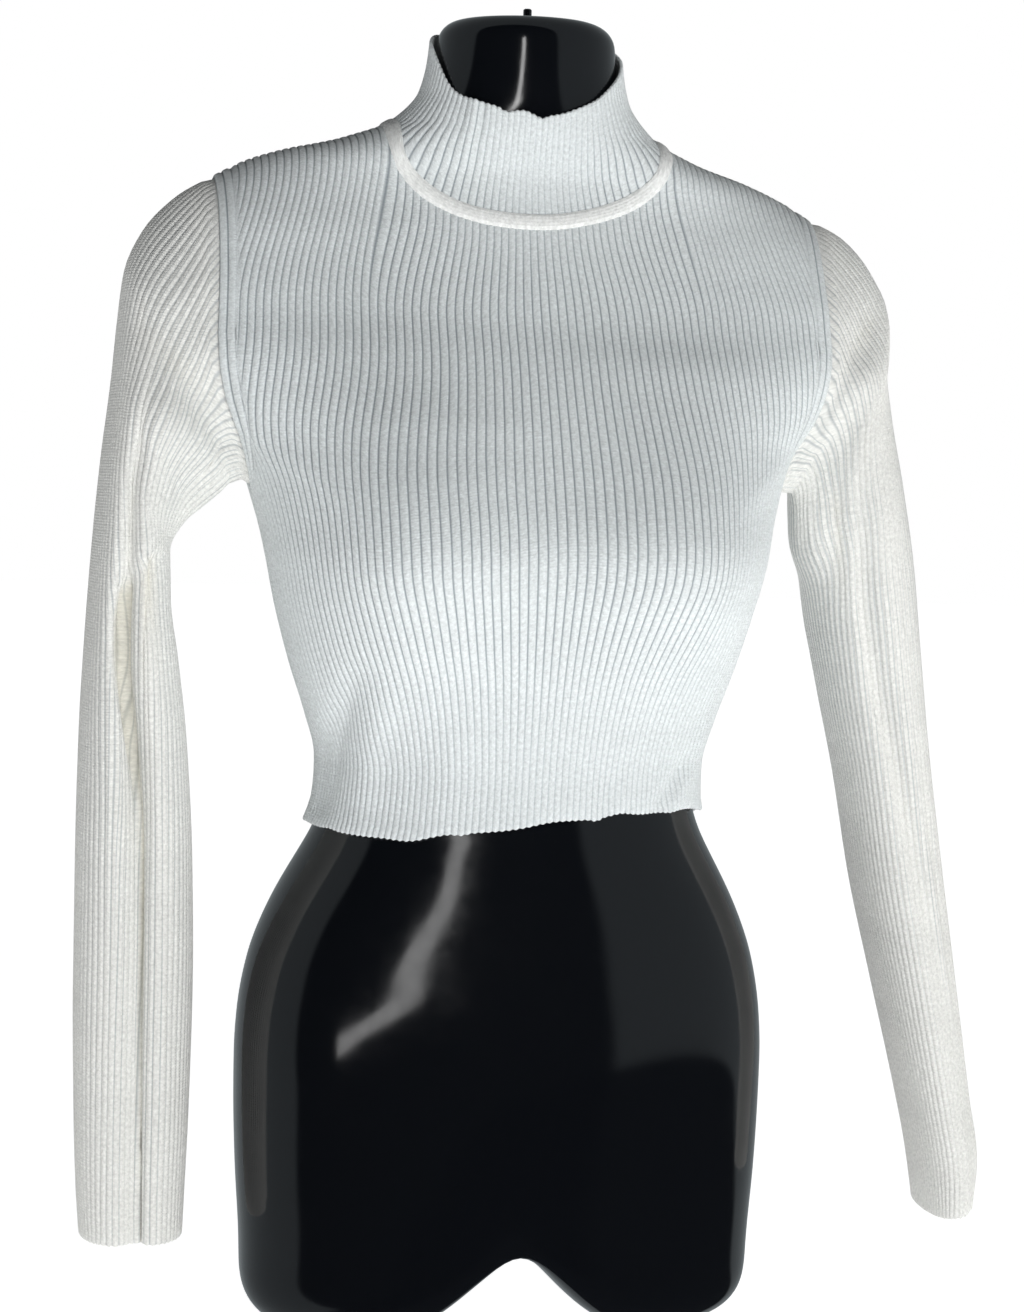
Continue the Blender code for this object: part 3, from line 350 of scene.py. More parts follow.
# Creases pressed into the cloth: a line from one place to another, each given as sideways
# place and height, then how wide it is, how far it stands out (or in, if minus) and the
# length over which each end of it dies away.
PANEL_CREASES = {
    FRONT: (
        (-0.095, 0.372, -0.108, 0.292, 0.0065, -0.0042, 0.024),
        (-0.078, 0.372, -0.088, 0.292, 0.0070, 0.0022, 0.024),
        (0.083, 0.332, 0.062, 0.300, 0.0050, -0.0028, 0.011),
        (0.098, 0.352, 0.076, 0.300, 0.0070, 0.0020, 0.017),
        (0.036, 0.325, 0.032, 0.300, 0.0040, -0.0014, 0.008),
        (-0.040, 0.352, -0.046, 0.300, 0.0110, 0.0012, 0.016),
        (-0.090, 0.515, 0.010, 0.507, 0.0100, 0.0008, 0.030),
        (0.020, 0.548, 0.120, 0.540, 0.0120, 0.0008, 0.030),
        (-0.060, 0.472, 0.060, 0.476, 0.0080, -0.0006, 0.036),
        (0.108, 0.475, 0.146, 0.505, 0.0060, 0.0012, 0.015),
        (-0.112, 0.478, -0.148, 0.508, 0.0060, 0.0012, 0.014),
    ),
    BACK: (
        (-0.070, 0.400, -0.050, 0.290, 0.0120, -0.0045, 0.034),
        (-0.030, 0.420, -0.022, 0.300, 0.0110, 0.0032, 0.036),
        (0.046, 0.410, 0.060, 0.288, 0.0130, -0.0052, 0.037),
        (0.016, 0.400, 0.024, 0.290, 0.0100, 0.0026, 0.033),
        (0.090, 0.395, 0.096, 0.300, 0.0090, 0.0030, 0.029),
        (-0.100, 0.390, -0.096, 0.300, 0.0085, 0.0024, 0.027),
        (-0.080, 0.356, 0.070, 0.372, 0.0090, 0.0024, 0.045),
        (-0.050, 0.338, 0.090, 0.346, 0.0080, -0.0022, 0.042),
        (-0.110, 0.470, -0.150, 0.510, 0.0065, 0.0014, 0.017),
        (0.108, 0.472, 0.148, 0.512, 0.0065, 0.0014, 0.017),
        (-0.070, 0.560, 0.060, 0.566, 0.0110, 0.0007, 0.039),
    ),
}
SLEEVE_CREASES = {
    -1: {
        FRONT: (
            (-0.2250, 0.576, -0.2056, 0.5525, 0.0130, -0.0020, 0.014),
            (-0.2056, 0.5525, -0.1890, 0.534, 0.0130, -0.0028, 0.014),
            (-0.1890, 0.534, -0.1690, 0.497, 0.0120, -0.0022, 0.014),
            (-0.2150, 0.520, -0.1600, 0.482, 0.0150, 0.0042, 0.022),
            (-0.1910, 0.425, -0.1880, 0.365, 0.0150, -0.0026, 0.024),
            (-0.1990, 0.300, -0.1900, 0.150, 0.0055, -0.0010, 0.040),
            (-0.2300, 0.230, -0.2260, 0.090, 0.0060, -0.0009, 0.040),
        ),
        BACK: (
            (-0.215, 0.560, -0.165, 0.500, 0.0120, -0.0050, 0.025),
            (-0.222, 0.530, -0.165, 0.470, 0.0110, 0.0048, 0.025),
            (-0.206, 0.440, -0.218, 0.370, 0.0070, -0.0055, 0.012),
            (-0.218, 0.370, -0.213, 0.280, 0.0045, -0.0045, 0.012),
            (-0.213, 0.280, -0.209, 0.050, 0.0030, -0.0035, 0.012),
            (-0.204, 0.400, -0.200, 0.260, 0.0060, 0.0022, 0.030),
        ),
    },
    1: {
        FRONT: (
            (0.204, 0.588, 0.190, 0.560, 0.0090, -0.0030, 0.014),
            (0.190, 0.560, 0.172, 0.532, 0.0090, -0.0030, 0.014),
            (0.198, 0.556, 0.180, 0.530, 0.0090, 0.0030, 0.014),
            (0.180, 0.530, 0.158, 0.500, 0.0090, 0.0042, 0.014),
            (0.1720, 0.477, 0.1756, 0.443, 0.0060, 0.0030, 0.010),
            (0.1756, 0.443, 0.1790, 0.390, 0.0060, 0.0030, 0.014),
            (0.1790, 0.485, 0.1855, 0.420, 0.0060, -0.0034, 0.014),
            (0.1855, 0.420, 0.1925, 0.335, 0.0060, -0.0034, 0.018),
            (0.2380, 0.330, 0.2441, 0.292, 0.0030, -0.0012, 0.016),
            (0.2441, 0.292, 0.2552, 0.245, 0.0028, -0.0022, 0.010),
            (0.2552, 0.245, 0.2660, 0.189, 0.0028, -0.0024, 0.010),
            (0.2660, 0.189, 0.2776, 0.133, 0.0028, -0.0020, 0.010),
            (0.2776, 0.133, 0.2820, 0.100, 0.0030, -0.0012, 0.014),
        ),
        BACK: (
            (0.210, 0.560, 0.165, 0.500, 0.0110, -0.0044, 0.024),
            (0.215, 0.530, 0.165, 0.470, 0.0110, 0.0044, 0.024),
            (0.188, 0.450, 0.200, 0.360, 0.0070, -0.0045, 0.016),
            (0.200, 0.360, 0.222, 0.260, 0.0045, -0.0036, 0.014),
            (0.222, 0.260, 0.262, 0.090, 0.0032, -0.0030, 0.014),
        ),
    },
}
CREASE_ROOM = 0.6          # share of the space behind a hanging panel that a crease takes
CREASE_CLEARANCE = 0.0008  # space that it always leaves
CREASE_SIDE_FADE = 0.02    # a panel's creases die away over this beside a seam
CREASE_EDGE_START = 0.012  # and over what is left of that beside a hem or neckline
CREASE_START = (0.002, 0.016)    # a sleeve's come up between these lengths from its seam
FACING_FADE = (0.15, 0.75)       # and as its wall turns to face the front or the back
FOLDED_DEPTHS = (0.0012, 0.0075) # cloth this far in is hardly, or wholly, within a fold

# Where the front of a sleeve folds over itself: height, then where the fold's edge lies,
# how deep the cloth drops beside it, over what width, and how far inward.
SLEEVE_FLAPS = {
    -1: (
        (0.040, 0.2092, 0.0056, 0.0018, 0.0034),
        (0.140, 0.2108, 0.0058, 0.0018, 0.0036),
        (0.240, 0.2122, 0.0066, 0.0020, 0.0044),
        (0.290, 0.2150, 0.0066, 0.0040, 0.0080),
        (0.330, 0.2220, 0.0062, 0.0062, 0.0135),
        (0.365, 0.2290, 0.0062, 0.0080, 0.0180),
        (0.395, 0.2325, 0.0062, 0.0092, 0.0240),
        (0.414, 0.2310, 0.0060, 0.0105, 0.0300),
        (0.432, 0.2210, 0.0054, 0.0120, 0.0360),
        (0.446, 0.2030, 0.0042, 0.0130, 0.0380),
        (0.457, 0.1850, 0.0026, 0.0130, 0.0380),
        (0.474, 0.1594, 0.0000, 0.0130, 0.0380),
    ),
    1: (
        (0.040, 0.2850, 0.0000, 0.0050, 0.0080),
        (0.110, 0.2750, 0.0006, 0.0050, 0.0090),
        (0.300, 0.2330, 0.0007, 0.0060, 0.0120),
        (0.400, 0.2180, 0.0000, 0.0060, 0.0120),
    ),
}
FLAP_LIP = 0.16            # how much of that drop stands up along the fold's edge
LIP_OFFSET = 1.2           # how far outside the edge, and how wide, in widths of the drop
LIP_WIDTH = 1.6

# A pinch in the collar's standing wall: angle, how wide in radians, rise.
COLLAR_CREASES = (
    (-2.285, 0.050, 0.0016),
    (-2.195, 0.035, -0.0013),
    (-1.100, 0.120, 0.0006),
    (0.900, 0.090, -0.0010),
    (2.300, 0.110, 0.0010),
)
PINCH_FADE = (0.15, 0.85)  # shares of the collar's height between which it comes up

# Small ripples of the collar's upper edge: angle, how wide in radians, rise.
COLLAR_RIPPLES = (
    (-2.50, 0.38, -0.0095),
    (-1.75, 0.10, 0.0016),
    (-1.55, 0.06, -0.0012),
    (-1.95, 0.07, -0.0014),
    (-2.30, 0.14, 0.0009),
    (-0.90, 0.16, -0.0009),
    (0.70, 0.22, 0.0010),
    (1.90, 0.18, -0.0012),
    (2.80, 0.20, 0.0008),
)

# ---------------------------------------------------------------- finish and stage

STITCH_HEIGHT = 0.0016     # one row of stitches, drawn a little coarser than life
STITCH_SLANT = 8.0         # how far a stitch's two legs lean towards each other
SMOOTH = {"interpolation_type": "SMOOTHSTEP"}

VIEW_CENTRE = (0.0016, 0.0, 0.383)   # aim of the camera and of the lights, from the middle
LIGHT_AIM = (0.0, 0.0, 0.38)
FLOOR_RADIUS = 9.0
WHITE = (1.0, 1.0, 1.0, 1.0)
DARK_AZIMUTH = math.radians(-21.0)   # where the dark part of the room lies in reflections
GROUND_AZIMUTH = math.radians(235.0)   # opposite the dark ground that they also show
GROUND_TILT = math.radians(60.0)

# Soft lights: place, width and height, share of the key power, turn in degrees, colour,
# and whether reflections alone show it or never do.
LIGHTS = {
    "fill_front": ((0.30, -2.00, 0.42), (1.10, 0.60), 1.56, 0.0, "#FFFFFF", False),
    "fill_right": ((1.70, -1.10, 0.18), (0.90, 0.30), 0.10, 0.0, "#FFF8EC", False),
    "window_tall": ((-0.30, -1.90, 0.70), (0.12, 0.56), 0.20, 9.0, "#FFFFFF", True),
    "window_wide": ((-0.79, -1.66, 0.30), (1.50, 0.12), 0.26, 17.0, "#FFFFFF", True),
}


# ---------------------------------------------------------------- settings

def linear_colour(code):
    """Turn an sRGB hex code into a linear colour with alpha 1."""
    parts = [int(code[index:index + 2], 16) / 255.0 for index in (1, 3, 5)]
    low = [part / 12.92 for part in parts]
    high = [((part + 0.055) / 1.055) ** 2.4 for part in parts]
    return (*(a if p <= 0.04045 else b for p, a, b in zip(parts, low, high)), 1.0)


def colour_property(label, meaning, code):
    """A colour that the user may change, given as an sRGB hex code."""
    return bpy.props.FloatVectorProperty(
        name=label, description=meaning, size=4, subtype="COLOR", default=linear_colour(code))


class KnitSettings(bpy.types.PropertyGroup):
    """Sizes and colours of the knit."""

    panel_ribs: bpy.props.IntProperty(
        name="Panel ribs", description="Ribs across a panel at the chest, without its borders",
        default=74, min=20, max=90)
    sleeve_ribs: bpy.props.IntProperty(
        name="Sleeve ribs", description="Ribs round a sleeve", default=60, min=20, max=80)
    collar_ribs: bpy.props.IntProperty(
        name="Collar ribs", description="Ribs round the collar", default=106, min=30, max=120)
    rib_depth: bpy.props.FloatProperty(
        name="Rib depth", description="From the top of a rib to the bottom of its groove",
        default=0.0011, min=0.0, max=0.003, precision=4, unit="LENGTH")
    yarn: colour_property("Yarn", "Colour of the yarn", "#EBF0F1")
    # Painted shade: this grey is laid into the grooves between the ribs, and down the middle of
    # stretched ribs.
    groove: colour_property(
        "Groove", "Colour between the ribs, where little light gets in", "#99A2A8")
    # Painted light: the same yarn as the body's, drawn creamier and brighter on the sleeves for
    # the warmer, brighter light that falls on them.
    sleeve_warm_lit_yarn: colour_property(
        "Sleeve yarn", "Colour of the sleeves' yarn, a little creamier", "#F8F8F4")
    band_yarn: colour_property(
        "Band yarn", "Colour of the plain neck band's yarn", "#FBFCFA")
    # Painted light: the warm colour of light bounced between the yarn deep in a sleeve's folds.
    fold_bounce_light: colour_property(
        "Fold tint", "Colour that light takes deep in a sleeve's folds", "#E6DCBC")


class FormSettings(bpy.types.PropertyGroup):
    """Finish of the torso form."""

    plastic: colour_property("Plastic", "Colour of the moulded plastic", "#0B0D11")
    roughness: bpy.props.FloatProperty(
        name="Roughness", description="0 is a mirror polish", default=0.09, min=0.0, max=1.0)
    sides: bpy.props.IntProperty(
        name="Sides", description="Points round each ring of the cage", default=48, min=16, max=96)


class StageSettings(bpy.types.PropertyGroup):
    """Camera, floor and lights."""

    azimuth: bpy.props.FloatProperty(
        name="Azimuth", description="Turn of the camera round the form, 0 in front of it",
        default=math.radians(-11.5), subtype="ANGLE")
    elevation: bpy.props.FloatProperty(
        name="Elevation", description="Camera's angle above the horizon",
        default=math.radians(4.0), subtype="ANGLE")
    roll: bpy.props.FloatProperty(
        name="Roll", description="Camera's turn about its own line of sight",
        default=math.radians(1.5), subtype="ANGLE")
    distance: bpy.props.FloatProperty(
        name="Distance", description="From the camera to the middle of the view",
        default=1.6, min=0.3, unit="LENGTH")
    view_height: bpy.props.FloatProperty(
        name="View height", description="Height that the picture takes in at that distance",
        default=0.7544, min=0.1, unit="LENGTH")
    floor: colour_property("Floor", "Colour of the floor", "#F0F0F0")
    floor_glow: bpy.props.FloatProperty(
        name="Floor glow", description="Light that the floor gives off itself",
        default=1.05, min=0.0)
    key: bpy.props.FloatProperty(
        name="Key light", description="Power that the soft lights share",
        default=9.0, min=0.0, unit="POWER")
    surround: bpy.props.FloatProperty(
        name="Surround", description="Strength of the even light from all round",
        default=1.0, min=0.0)
    overhead: bpy.props.FloatProperty(
        name="Overhead", description="Share of that light that comes from straight above",
        default=0.04, min=0.0, max=1.0)
    mirrored: bpy.props.FloatProperty(
        name="Mirrored surround", description="Strength of that light in reflections",
        default=0.42, min=0.0)


# ---------------------------------------------------------------- small helpers

def smooth_curve(places, values):
    """Return a smooth function through the points that never overshoots them."""
    places = np.asarray(places, dtype=float)
    values = np.asarray(values, dtype=float)
    steps = np.diff(places)
    slopes = np.diff(values) / steps
    before, after = slopes[:-1], slopes[1:]
    same_way = before * after > 0.0
    safe_before = np.where(same_way, before, 1.0)
    safe_after = np.where(same_way, after, 1.0)
    inner = np.where(same_way, 2.0 / (1.0 / safe_before + 1.0 / safe_after), 0.0)
    tangents = np.concatenate(([slopes[0]], inner, [slopes[-1]]))

    def value_at(place):
        place = np.clip(place, places[0], places[-1])
        index = np.clip(np.searchsorted(places, place) - 1, 0, len(steps) - 1)
        step = steps[index]
        part = (place - places[index]) / step
        rest = 1.0 - part
        return (
            values[index] * rest * rest * (1.0 + 2.0 * part)
            + values[index + 1] * part * part * (3.0 - 2.0 * part)
            + tangents[index] * step * part * rest * rest
            - tangents[index + 1] * step * part * part * rest
        )

    return value_at


def curves(rows):
    """One smooth curve for each column of a table but its first, over that first one."""
    places, *columns = np.array(rows, dtype=float).T
    return [smooth_curve(places, column) for column in columns]


def smooth_step(low, high, value):
    """Rise from 0 at low to 1 at high with no corner."""
    part = np.clip((value - low) / (high - low), 0.0, 1.0)
    return part * part * (3.0 - 2.0 * part)


def bell(distance, width):
    """A bump of height 1 that dies away on both sides."""
    return np.exp(-((distance / width) ** 2))


def unit(vectors):
    """Scale each vector to length 1."""
    lengths = np.linalg.norm(vectors, axis=-1, keepdims=True)
    return vectors / np.maximum(lengths, 1e-12)


def travelled(path, axis=0):
    """Length along a path of points at each of them."""
    steps = np.linalg.norm(np.diff(path, axis=axis), axis=-1)
    start = np.zeros_like(np.take(steps, [0], axis=axis))
    return np.concatenate((start, np.cumsum(steps, axis=axis)), axis=axis)


def neighbour_steps(grid, axis, closed=False):
    """From the point before each point of a grid to the one after it, along an axis."""
    if closed:
        return np.roll(grid, -1, axis) - np.roll(grid, 1, axis)
    grid = np.moveaxis(grid, axis, 0)
    steps = (grid[1:2] - grid[:1], grid[2:] - grid[:-2], grid[-1:] - grid[-2:-1])
    return np.moveaxis(np.concatenate(steps), 0, axis)


def by_column(wanted, known, values):
    """Read values off between known places, column by column; one column may serve all."""
    tables = [np.asarray(table, dtype=float) for table in (wanted, known, values)]
    tables = [table if table.ndim > 1 else table[:, None] for table in tables]
    return np.stack([
        np.interp(*(table[:, column % table.shape[1]] for table in tables))
        for column in range(max(table.shape[1] for table in tables))], axis=1)


def creases_at(table, across, up):
    """Sum of a table's creases at places given by their sideways place and height."""
    total = np.zeros_like(across)
    for x0, z0, x1, z1, width, rise, fade in table:
        way = np.array((x1, z1)) - np.array((x0, z0))
        length = np.hypot(*way)
        way = way / length
        along = (across - x0) * way[0] + (up - z0) * way[1]
        aside = (across - x0) * way[1] - (up - z0) * way[0]
        ends = smooth_step(-fade, fade, along) * smooth_step(-fade, fade, length - along)
        total += rise * ends * bell(aside, width)
    return total


# ---------------------------------------------------------------- the form's surface

half_width_at, front_at, back_at, centre_y_at, squareness_at = curves(FORM_ROWS)


def form_point(angle, height, inset=0.0):
    """Point on the form at an angle round it and a height, before the notch."""
    cosine, sine = np.cos(angle), np.sin(angle)
    width = half_width_at(height) - inset
    depth = np.where(sine < 0.0, front_at(height), back_at(height)) - inset
    power = squareness_at(height)
    radius = (np.abs(cosine / width) ** power + np.abs(sine / depth) ** power) ** (-1.0 / power)
    x = radius * cosine
    y = centre_y_at(height) + radius * sine
    rise = height - BUST_HEIGHT
    spread = np.where(rise > 0.0, BUST_SPREAD_UP, BUST_SPREAD_DOWN)
    bump = np.exp(-0.5 * (rise / spread) ** 2) * (
        np.exp(-0.5 * ((x - BUST_HALF_SPACING) / BUST_SPREAD) ** 2)
        + np.exp(-0.5 * ((x + BUST_HALF_SPACING) / BUST_SPREAD) ** 2)
    )
    y = y - BUST_RISE * bump * smooth_step(0.0, BUST_SIDE_FADE, -sine)
    uneven = (
        LEFT_SHOULDER_RISE * smooth_step(*LEFT_SHOULDER_SPAN, -x)
        - RIGHT_SHOULDER_DROP * smooth_step(*RIGHT_SHOULDER_SPAN, x)
    )
    z = height + uneven * smooth_step(*SHOULDER_SPAN_UP, height)
    return np.stack(np.broadcast_arrays(x, y, z), axis=-1)


def form_normal(angle, height):
    """Outward direction of the form's surface."""
    turn, lift = 1e-4, 1e-5
    along = form_point(angle + turn, height) - form_point(angle - turn, height)
    upward = form_point(angle, height + lift) - form_point(angle, height - lift)
    return unit(np.cross(along, upward))


# ---------------------------------------------------------------- cloth on the form

hang_at = dict(zip(("front", "back", "left", "right"), curves(HANG_ROWS)))
armhole_x_at = dict(zip((FRONT, BACK), curves(ARMHOLE_ROWS)))
spread_at = curves(SPREAD_ROWS)[0]


def stand_off(angle, height):
    """How far the cloth hangs away from the form, sideways and fore and aft."""
    cosine, sine = np.cos(angle), np.sin(angle)
    fore_aft = np.where(sine < 0.0, hang_at["front"](height), hang_at["back"](height))
    sideways = np.where(cosine < 0.0, hang_at["left"](height), hang_at["right"](height))
    return fore_aft * sine**2 + sideways * cosine**2


def cloth_point(angle, height, lift):
    """Point of cloth laid on the form, lift above its clearance."""
    outward = np.stack([np.cos(angle), np.sin(angle), np.zeros_like(angle)], axis=-1)
    lifted = np.asarray(CLOTH_CLEARANCE + lift)[..., None] * form_normal(angle, height)
    hanging = stand_off(angle, height)[..., None] * outward
    return form_point(angle, height) + lifted + hanging


def angle_at_x(face, x, height):
    """Angle of the point of the front or back whose sideways place is x."""
    width = half_width_at(height)
    depth = front_at(height) if face == FRONT else back_at(height)
    power = squareness_at(height)
    share = np.clip(np.abs(x) / width, 0.0, 1.0)
    reach = depth * (1.0 - share**power) ** (1.0 / power)
    return face * np.arctan2(reach, np.sign(x) * share * width)


def armhole_x(face, height):
    """Half width of a panel at a height, measured on the form."""
    return np.minimum(armhole_x_at[face](height), half_width_at(height))


def ridge_height(half_x):
    """Height of the shoulder ridge at a distance from the middle."""
    heights = np.linspace(*RIDGE_HEIGHTS, RIDGE_SAMPLES)
    return np.interp(-half_x, -half_width_at(heights), heights)


NECK_POINT_HEIGHT = float(ridge_height(NECK_POINT_HALF_WIDTH))


def neckline_height(face, x):
    """Height of the neckline above a place across the neck."""
    drop = FRONT_NECK_DROP if face == FRONT else BACK_NECK_DROP
    power = np.where(x < 0.0, *NECKLINE_SQUARENESS[face])
    share = np.clip(np.abs(x) / NECK_POINT_HALF_WIDTH, 0.0, 1.0)
    return NECK_POINT_HEIGHT - drop * (1.0 - share**power) ** (1.0 / power)


# ---------------------------------------------------------------- ribs and edges

def rib_columns(count, closed=False):
    """Rib number of each column, with whole numbers in the grooves, and its relief."""
    ribs = (np.arange(count)[:, None] + np.array(RIB_PHASES)).ravel()
    relief = np.tile(RIB_RELIEF, count)
    if closed:
        return ribs, relief
    return np.append(ribs, float(count)), np.append(relief, 0.0)


def edge_rows(length):
    """Places of the rows within the rolled edge at each end of a piece's ribs."""
    edge = np.array(EDGE_PLACES)[:, None] * EDGE_ROLL
    return edge + 0.0 * length, length - edge[::-1]


def scallop(ribs, from_edge=0.0):
    """How far the cloth hangs past the grooves' ends, near a raw edge."""
    reach = np.clip(1.0 - from_edge / SCALLOP_REACH, 0.0, 1.0)
    return EDGE_SCALLOP * (0.5 - 0.5 * np.cos(2.0 * math.pi * ribs)) * reach


def roll(distance):
    """Share of the wall's half thickness that is left at a distance from an edge."""
    rest = 1.0 - np.clip(distance / EDGE_ROLL, 0.0, 1.0)
    return np.sqrt(np.clip(1.0 - rest**2, 0.0, 1.0))


def wall_lifts(relief, rolled, sewn, depth):
    """Lift of the outer and inner faces above the inner face of the solid.

    rolled and sewn are 1 in the middle of a piece and 0 at a raw and a sewn edge. A raw
    edge is rounded from both faces, and a sewn one sinks a little on its outer face.
    """
    middle = 0.5 * CLOTH_WALL
    outer = CLOTH_WALL + depth * (relief - RELIEF_LEVEL)
    outer = outer - SEAM_SINK * (1.0 - sewn) * (GROOVE_SINK + (1.0 - GROOVE_SINK) * relief)
    return middle + (outer - middle) * rolled, middle * (1.0 - rolled)


# ---------------------------------------------------------------- shells

def add_object(name, data):
    """Put a mesh, light or camera into the scene."""
    made = bpy.data.objects.new(name, data)
    bpy.context.scene.collection.objects.link(made)
    return made


def grid_faces(rows, columns, closed, start, outward):
    """Quads of a grid of vertices, and the row and column of each corner."""
    last = columns if closed else columns - 1
    row, column = np.meshgrid(np.arange(rows - 1), np.arange(last), indexing="ij")
    corners = [(row, column), (row, column + 1), (row + 1, column + 1), (row + 1, column)]
    if not outward:
        corners.reverse()
    vertices = np.stack([r * columns + c % columns for r, c in corners], axis=-1)
    places = np.stack([np.stack(corner, axis=-1) for corner in corners], axis=-2)
    return start + vertices.reshape(-1, 4), places.reshape(-1, 4, 2)


def rim_faces(first, second, closed):
    """Quads between two rows of vertex numbers."""
    after = np.roll(np.arange(len(first)), -1)
    quads = np.stack((first, first[after], second[after], second), axis=-1)
    return quads if closed else quads[:-1]


def rib_opening(grid, ribs, closed):
    """How far the ribs are drawn apart at each point, from 0 at rest to 1."""
    half = len(RIB_PHASES) // 2
    if closed:
        gap = np.roll(grid, -half, axis=1) - np.roll(grid, half, axis=1)
        count = ribs[2 * half] - ribs[0]
    else:
        index = np.arange(grid.shape[1])
        low, high = np.maximum(index - half, 0), np.minimum(index + half, index[-1])
        gap = grid[:, high] - grid[:, low]
        count = np.abs(ribs[high] - ribs[low])
    way = unit(neighbour_steps(grid, 0))
    for row in range(1, len(way)):   # a rib that has ended keeps the way it had
        ended = np.linalg.norm(way[row], axis=-1) < 0.5
        way[row, ended] = way[row - 1, ended]
    gap = gap - way * np.sum(gap * way, axis=-1, keepdims=True)
    return smooth_step(*OPENING_PITCHES, np.linalg.norm(gap, axis=-1) / count)


def shell(name, walls, ribs, courses, closed, folded=None):
    """Close an outer and an inner grid into a thin wall.

    Rows run up the piece and columns to the right as seen from outside. The UV map's U
    counts ribs and its V is the length along them. Two attributes say how far the ribs
    are drawn apart, and how far the cloth lies within a fold.
    """
    rows, columns = walls[0].shape[:2]
    size = rows * columns
    points = np.concatenate([wall.reshape(-1, 3) for wall in walls])
    numbers = np.arange(2 * size).reshape(2, rows, columns)
    rims = [
        rim_faces(numbers[1, 0], numbers[0, 0], closed),
        rim_faces(numbers[0, -1], numbers[1, -1], closed),
    ]
    if not closed:
        rims.append(rim_faces(numbers[0, :, 0], numbers[1, :, 0], False))
        rims.append(rim_faces(numbers[1, :, -1], numbers[0, :, -1], False))
    rim = np.concatenate(rims)
    faces, places = zip(
        grid_faces(rows, columns, closed, 0, True),
        grid_faces(rows, columns, closed, size, False),
        (rim, np.stack((rim % size // columns, rim % columns), axis=-1)),
    )
    places = np.concatenate(places)
    u = np.append(ribs, np.ceil(ribs[-1]))[places[..., 1]]
    v = courses[places[..., 0], places[..., 1] % columns]
    mesh = bpy.data.meshes.new(name)
    mesh.from_pydata((points + MIDDLE).tolist(), [], np.concatenate(faces).tolist())
    layer = mesh.uv_layers.new(name="knit")
    layer.data.foreach_set("uv", np.stack((u, v), axis=-1).ravel())
    opening = rib_opening(walls[0], ribs, closed)
    folded = np.zeros_like(opening) if folded is None else folded
    for trait, values in (("opening", opening), ("folded", folded)):
        kept = mesh.attributes.new(trait, "FLOAT", "POINT")
        kept.data.foreach_set("value", np.tile(values.ravel(), 2))
    builder = bmesh.new()
    builder.from_mesh(mesh)
    bmesh.ops.remove_doubles(builder, verts=builder.verts[:], dist=MERGE_DISTANCE)
    bmesh.ops.dissolve_degenerate(builder, edges=builder.edges[:], dist=MERGE_DISTANCE)
    builder.to_mesh(mesh)
    builder.free()
    mesh.shade_smooth()
    return add_object(name, mesh)


def grid_normals(grid, closed):
    """Unit normals of a grid of points, to the left of its rows."""
    return unit(np.cross(neighbour_steps(grid, 1, closed), neighbour_steps(grid, 0)))


def ring_normals(rings):
    """Outward unit normals of a tube made of rings."""
    normals = grid_normals(rings, closed=True)
    middles = rings.mean(axis=1, keepdims=True)
    return normals * np.sign(np.sum(normals * (rings - middles)))


def finish_sheet(piece, node, material):
    """Give a knit piece its material and its place in the frame, and hide the solid it stands in
    for.
    """
    piece.data.materials.append(material)
    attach(piece, "root")
    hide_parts(node)


# ---------------------------------------------------------------- body panels

def drawn_apart(number, half_count, height):
    """Rib numbers from the middle after the cloth is stretched over the bust."""
    turn = math.pi * number / half_count
    return number + float(spread_at(height)) * half_count * np.sin(turn) / math.pi


def slice_across(face, height):
    """Angles across a slice of a panel, left to right, and each one's arc from its middle."""
    if height <= UNDERARM_HEIGHT:
        border = float(half_width_at(height))
    else:
        border = float(armhole_x(face, height))
    left = float(angle_at_x(face, -border, height))
    right = float(angle_at_x(face, border, height))
    angles = np.linspace(left, right, DENSE_SAMPLES)
    points = cloth_point(angles, np.full_like(angles, height), 0.0)
    arcs = travelled(points)
    across = form_point(angles, np.full_like(angles, height))[:, 0]
    return angles, arcs - np.interp(0.0, across, arcs), across


def free_pitch(face, half_count):
    """Arc between two ribs at each height, left and right, where nothing crowds them."""
    low = np.linspace(LOWEST_LEVEL, UNDERARM_HEIGHT, PITCH_LEVELS)
    ends = np.array([np.abs(slice_across(face, level)[1][[0, -1]]) for level in low]) / half_count
    upper, shares = zip(*UPPER_PITCHES)
    heights = np.concatenate((low, upper))
    ends = np.concatenate((ends, *(ends[-1:] * share for share in shares)))
    return {-1: smooth_curve(heights, ends[:, 0]), 1: smooth_curve(heights, ends[:, 1])}


def panel_ribs(face, count):
    """Rib numbers of a panel's columns with their places at the chest and at the top."""
    ribs, relief = rib_columns(count + 2 * (BORDER_RIBS + MERGING_RIBS))
    middle = 0.5 * ribs[-1]
    from_middle = ribs - middle
    edge = float(armhole_x(face, CHEST_HEIGHT))
    half = 0.5 * count
    pitch = edge / (half + BORDER_RIBS)
    border = edge - BORDER_RIBS * pitch
    in_border = np.abs(from_middle) > half + MERGING_RIBS
    border_x = np.sign(from_middle) * (np.abs(from_middle) - MERGING_RIBS) * pitch
    apart = drawn_apart(from_middle, middle, CHEST_HEIGHT)
    chest_x = np.where(in_border, border_x, apart * pitch)
    top_x = np.where(in_border, border_x, from_middle * border / (half + MERGING_RIBS))
    return ribs, relief, chest_x, top_x, border, in_border


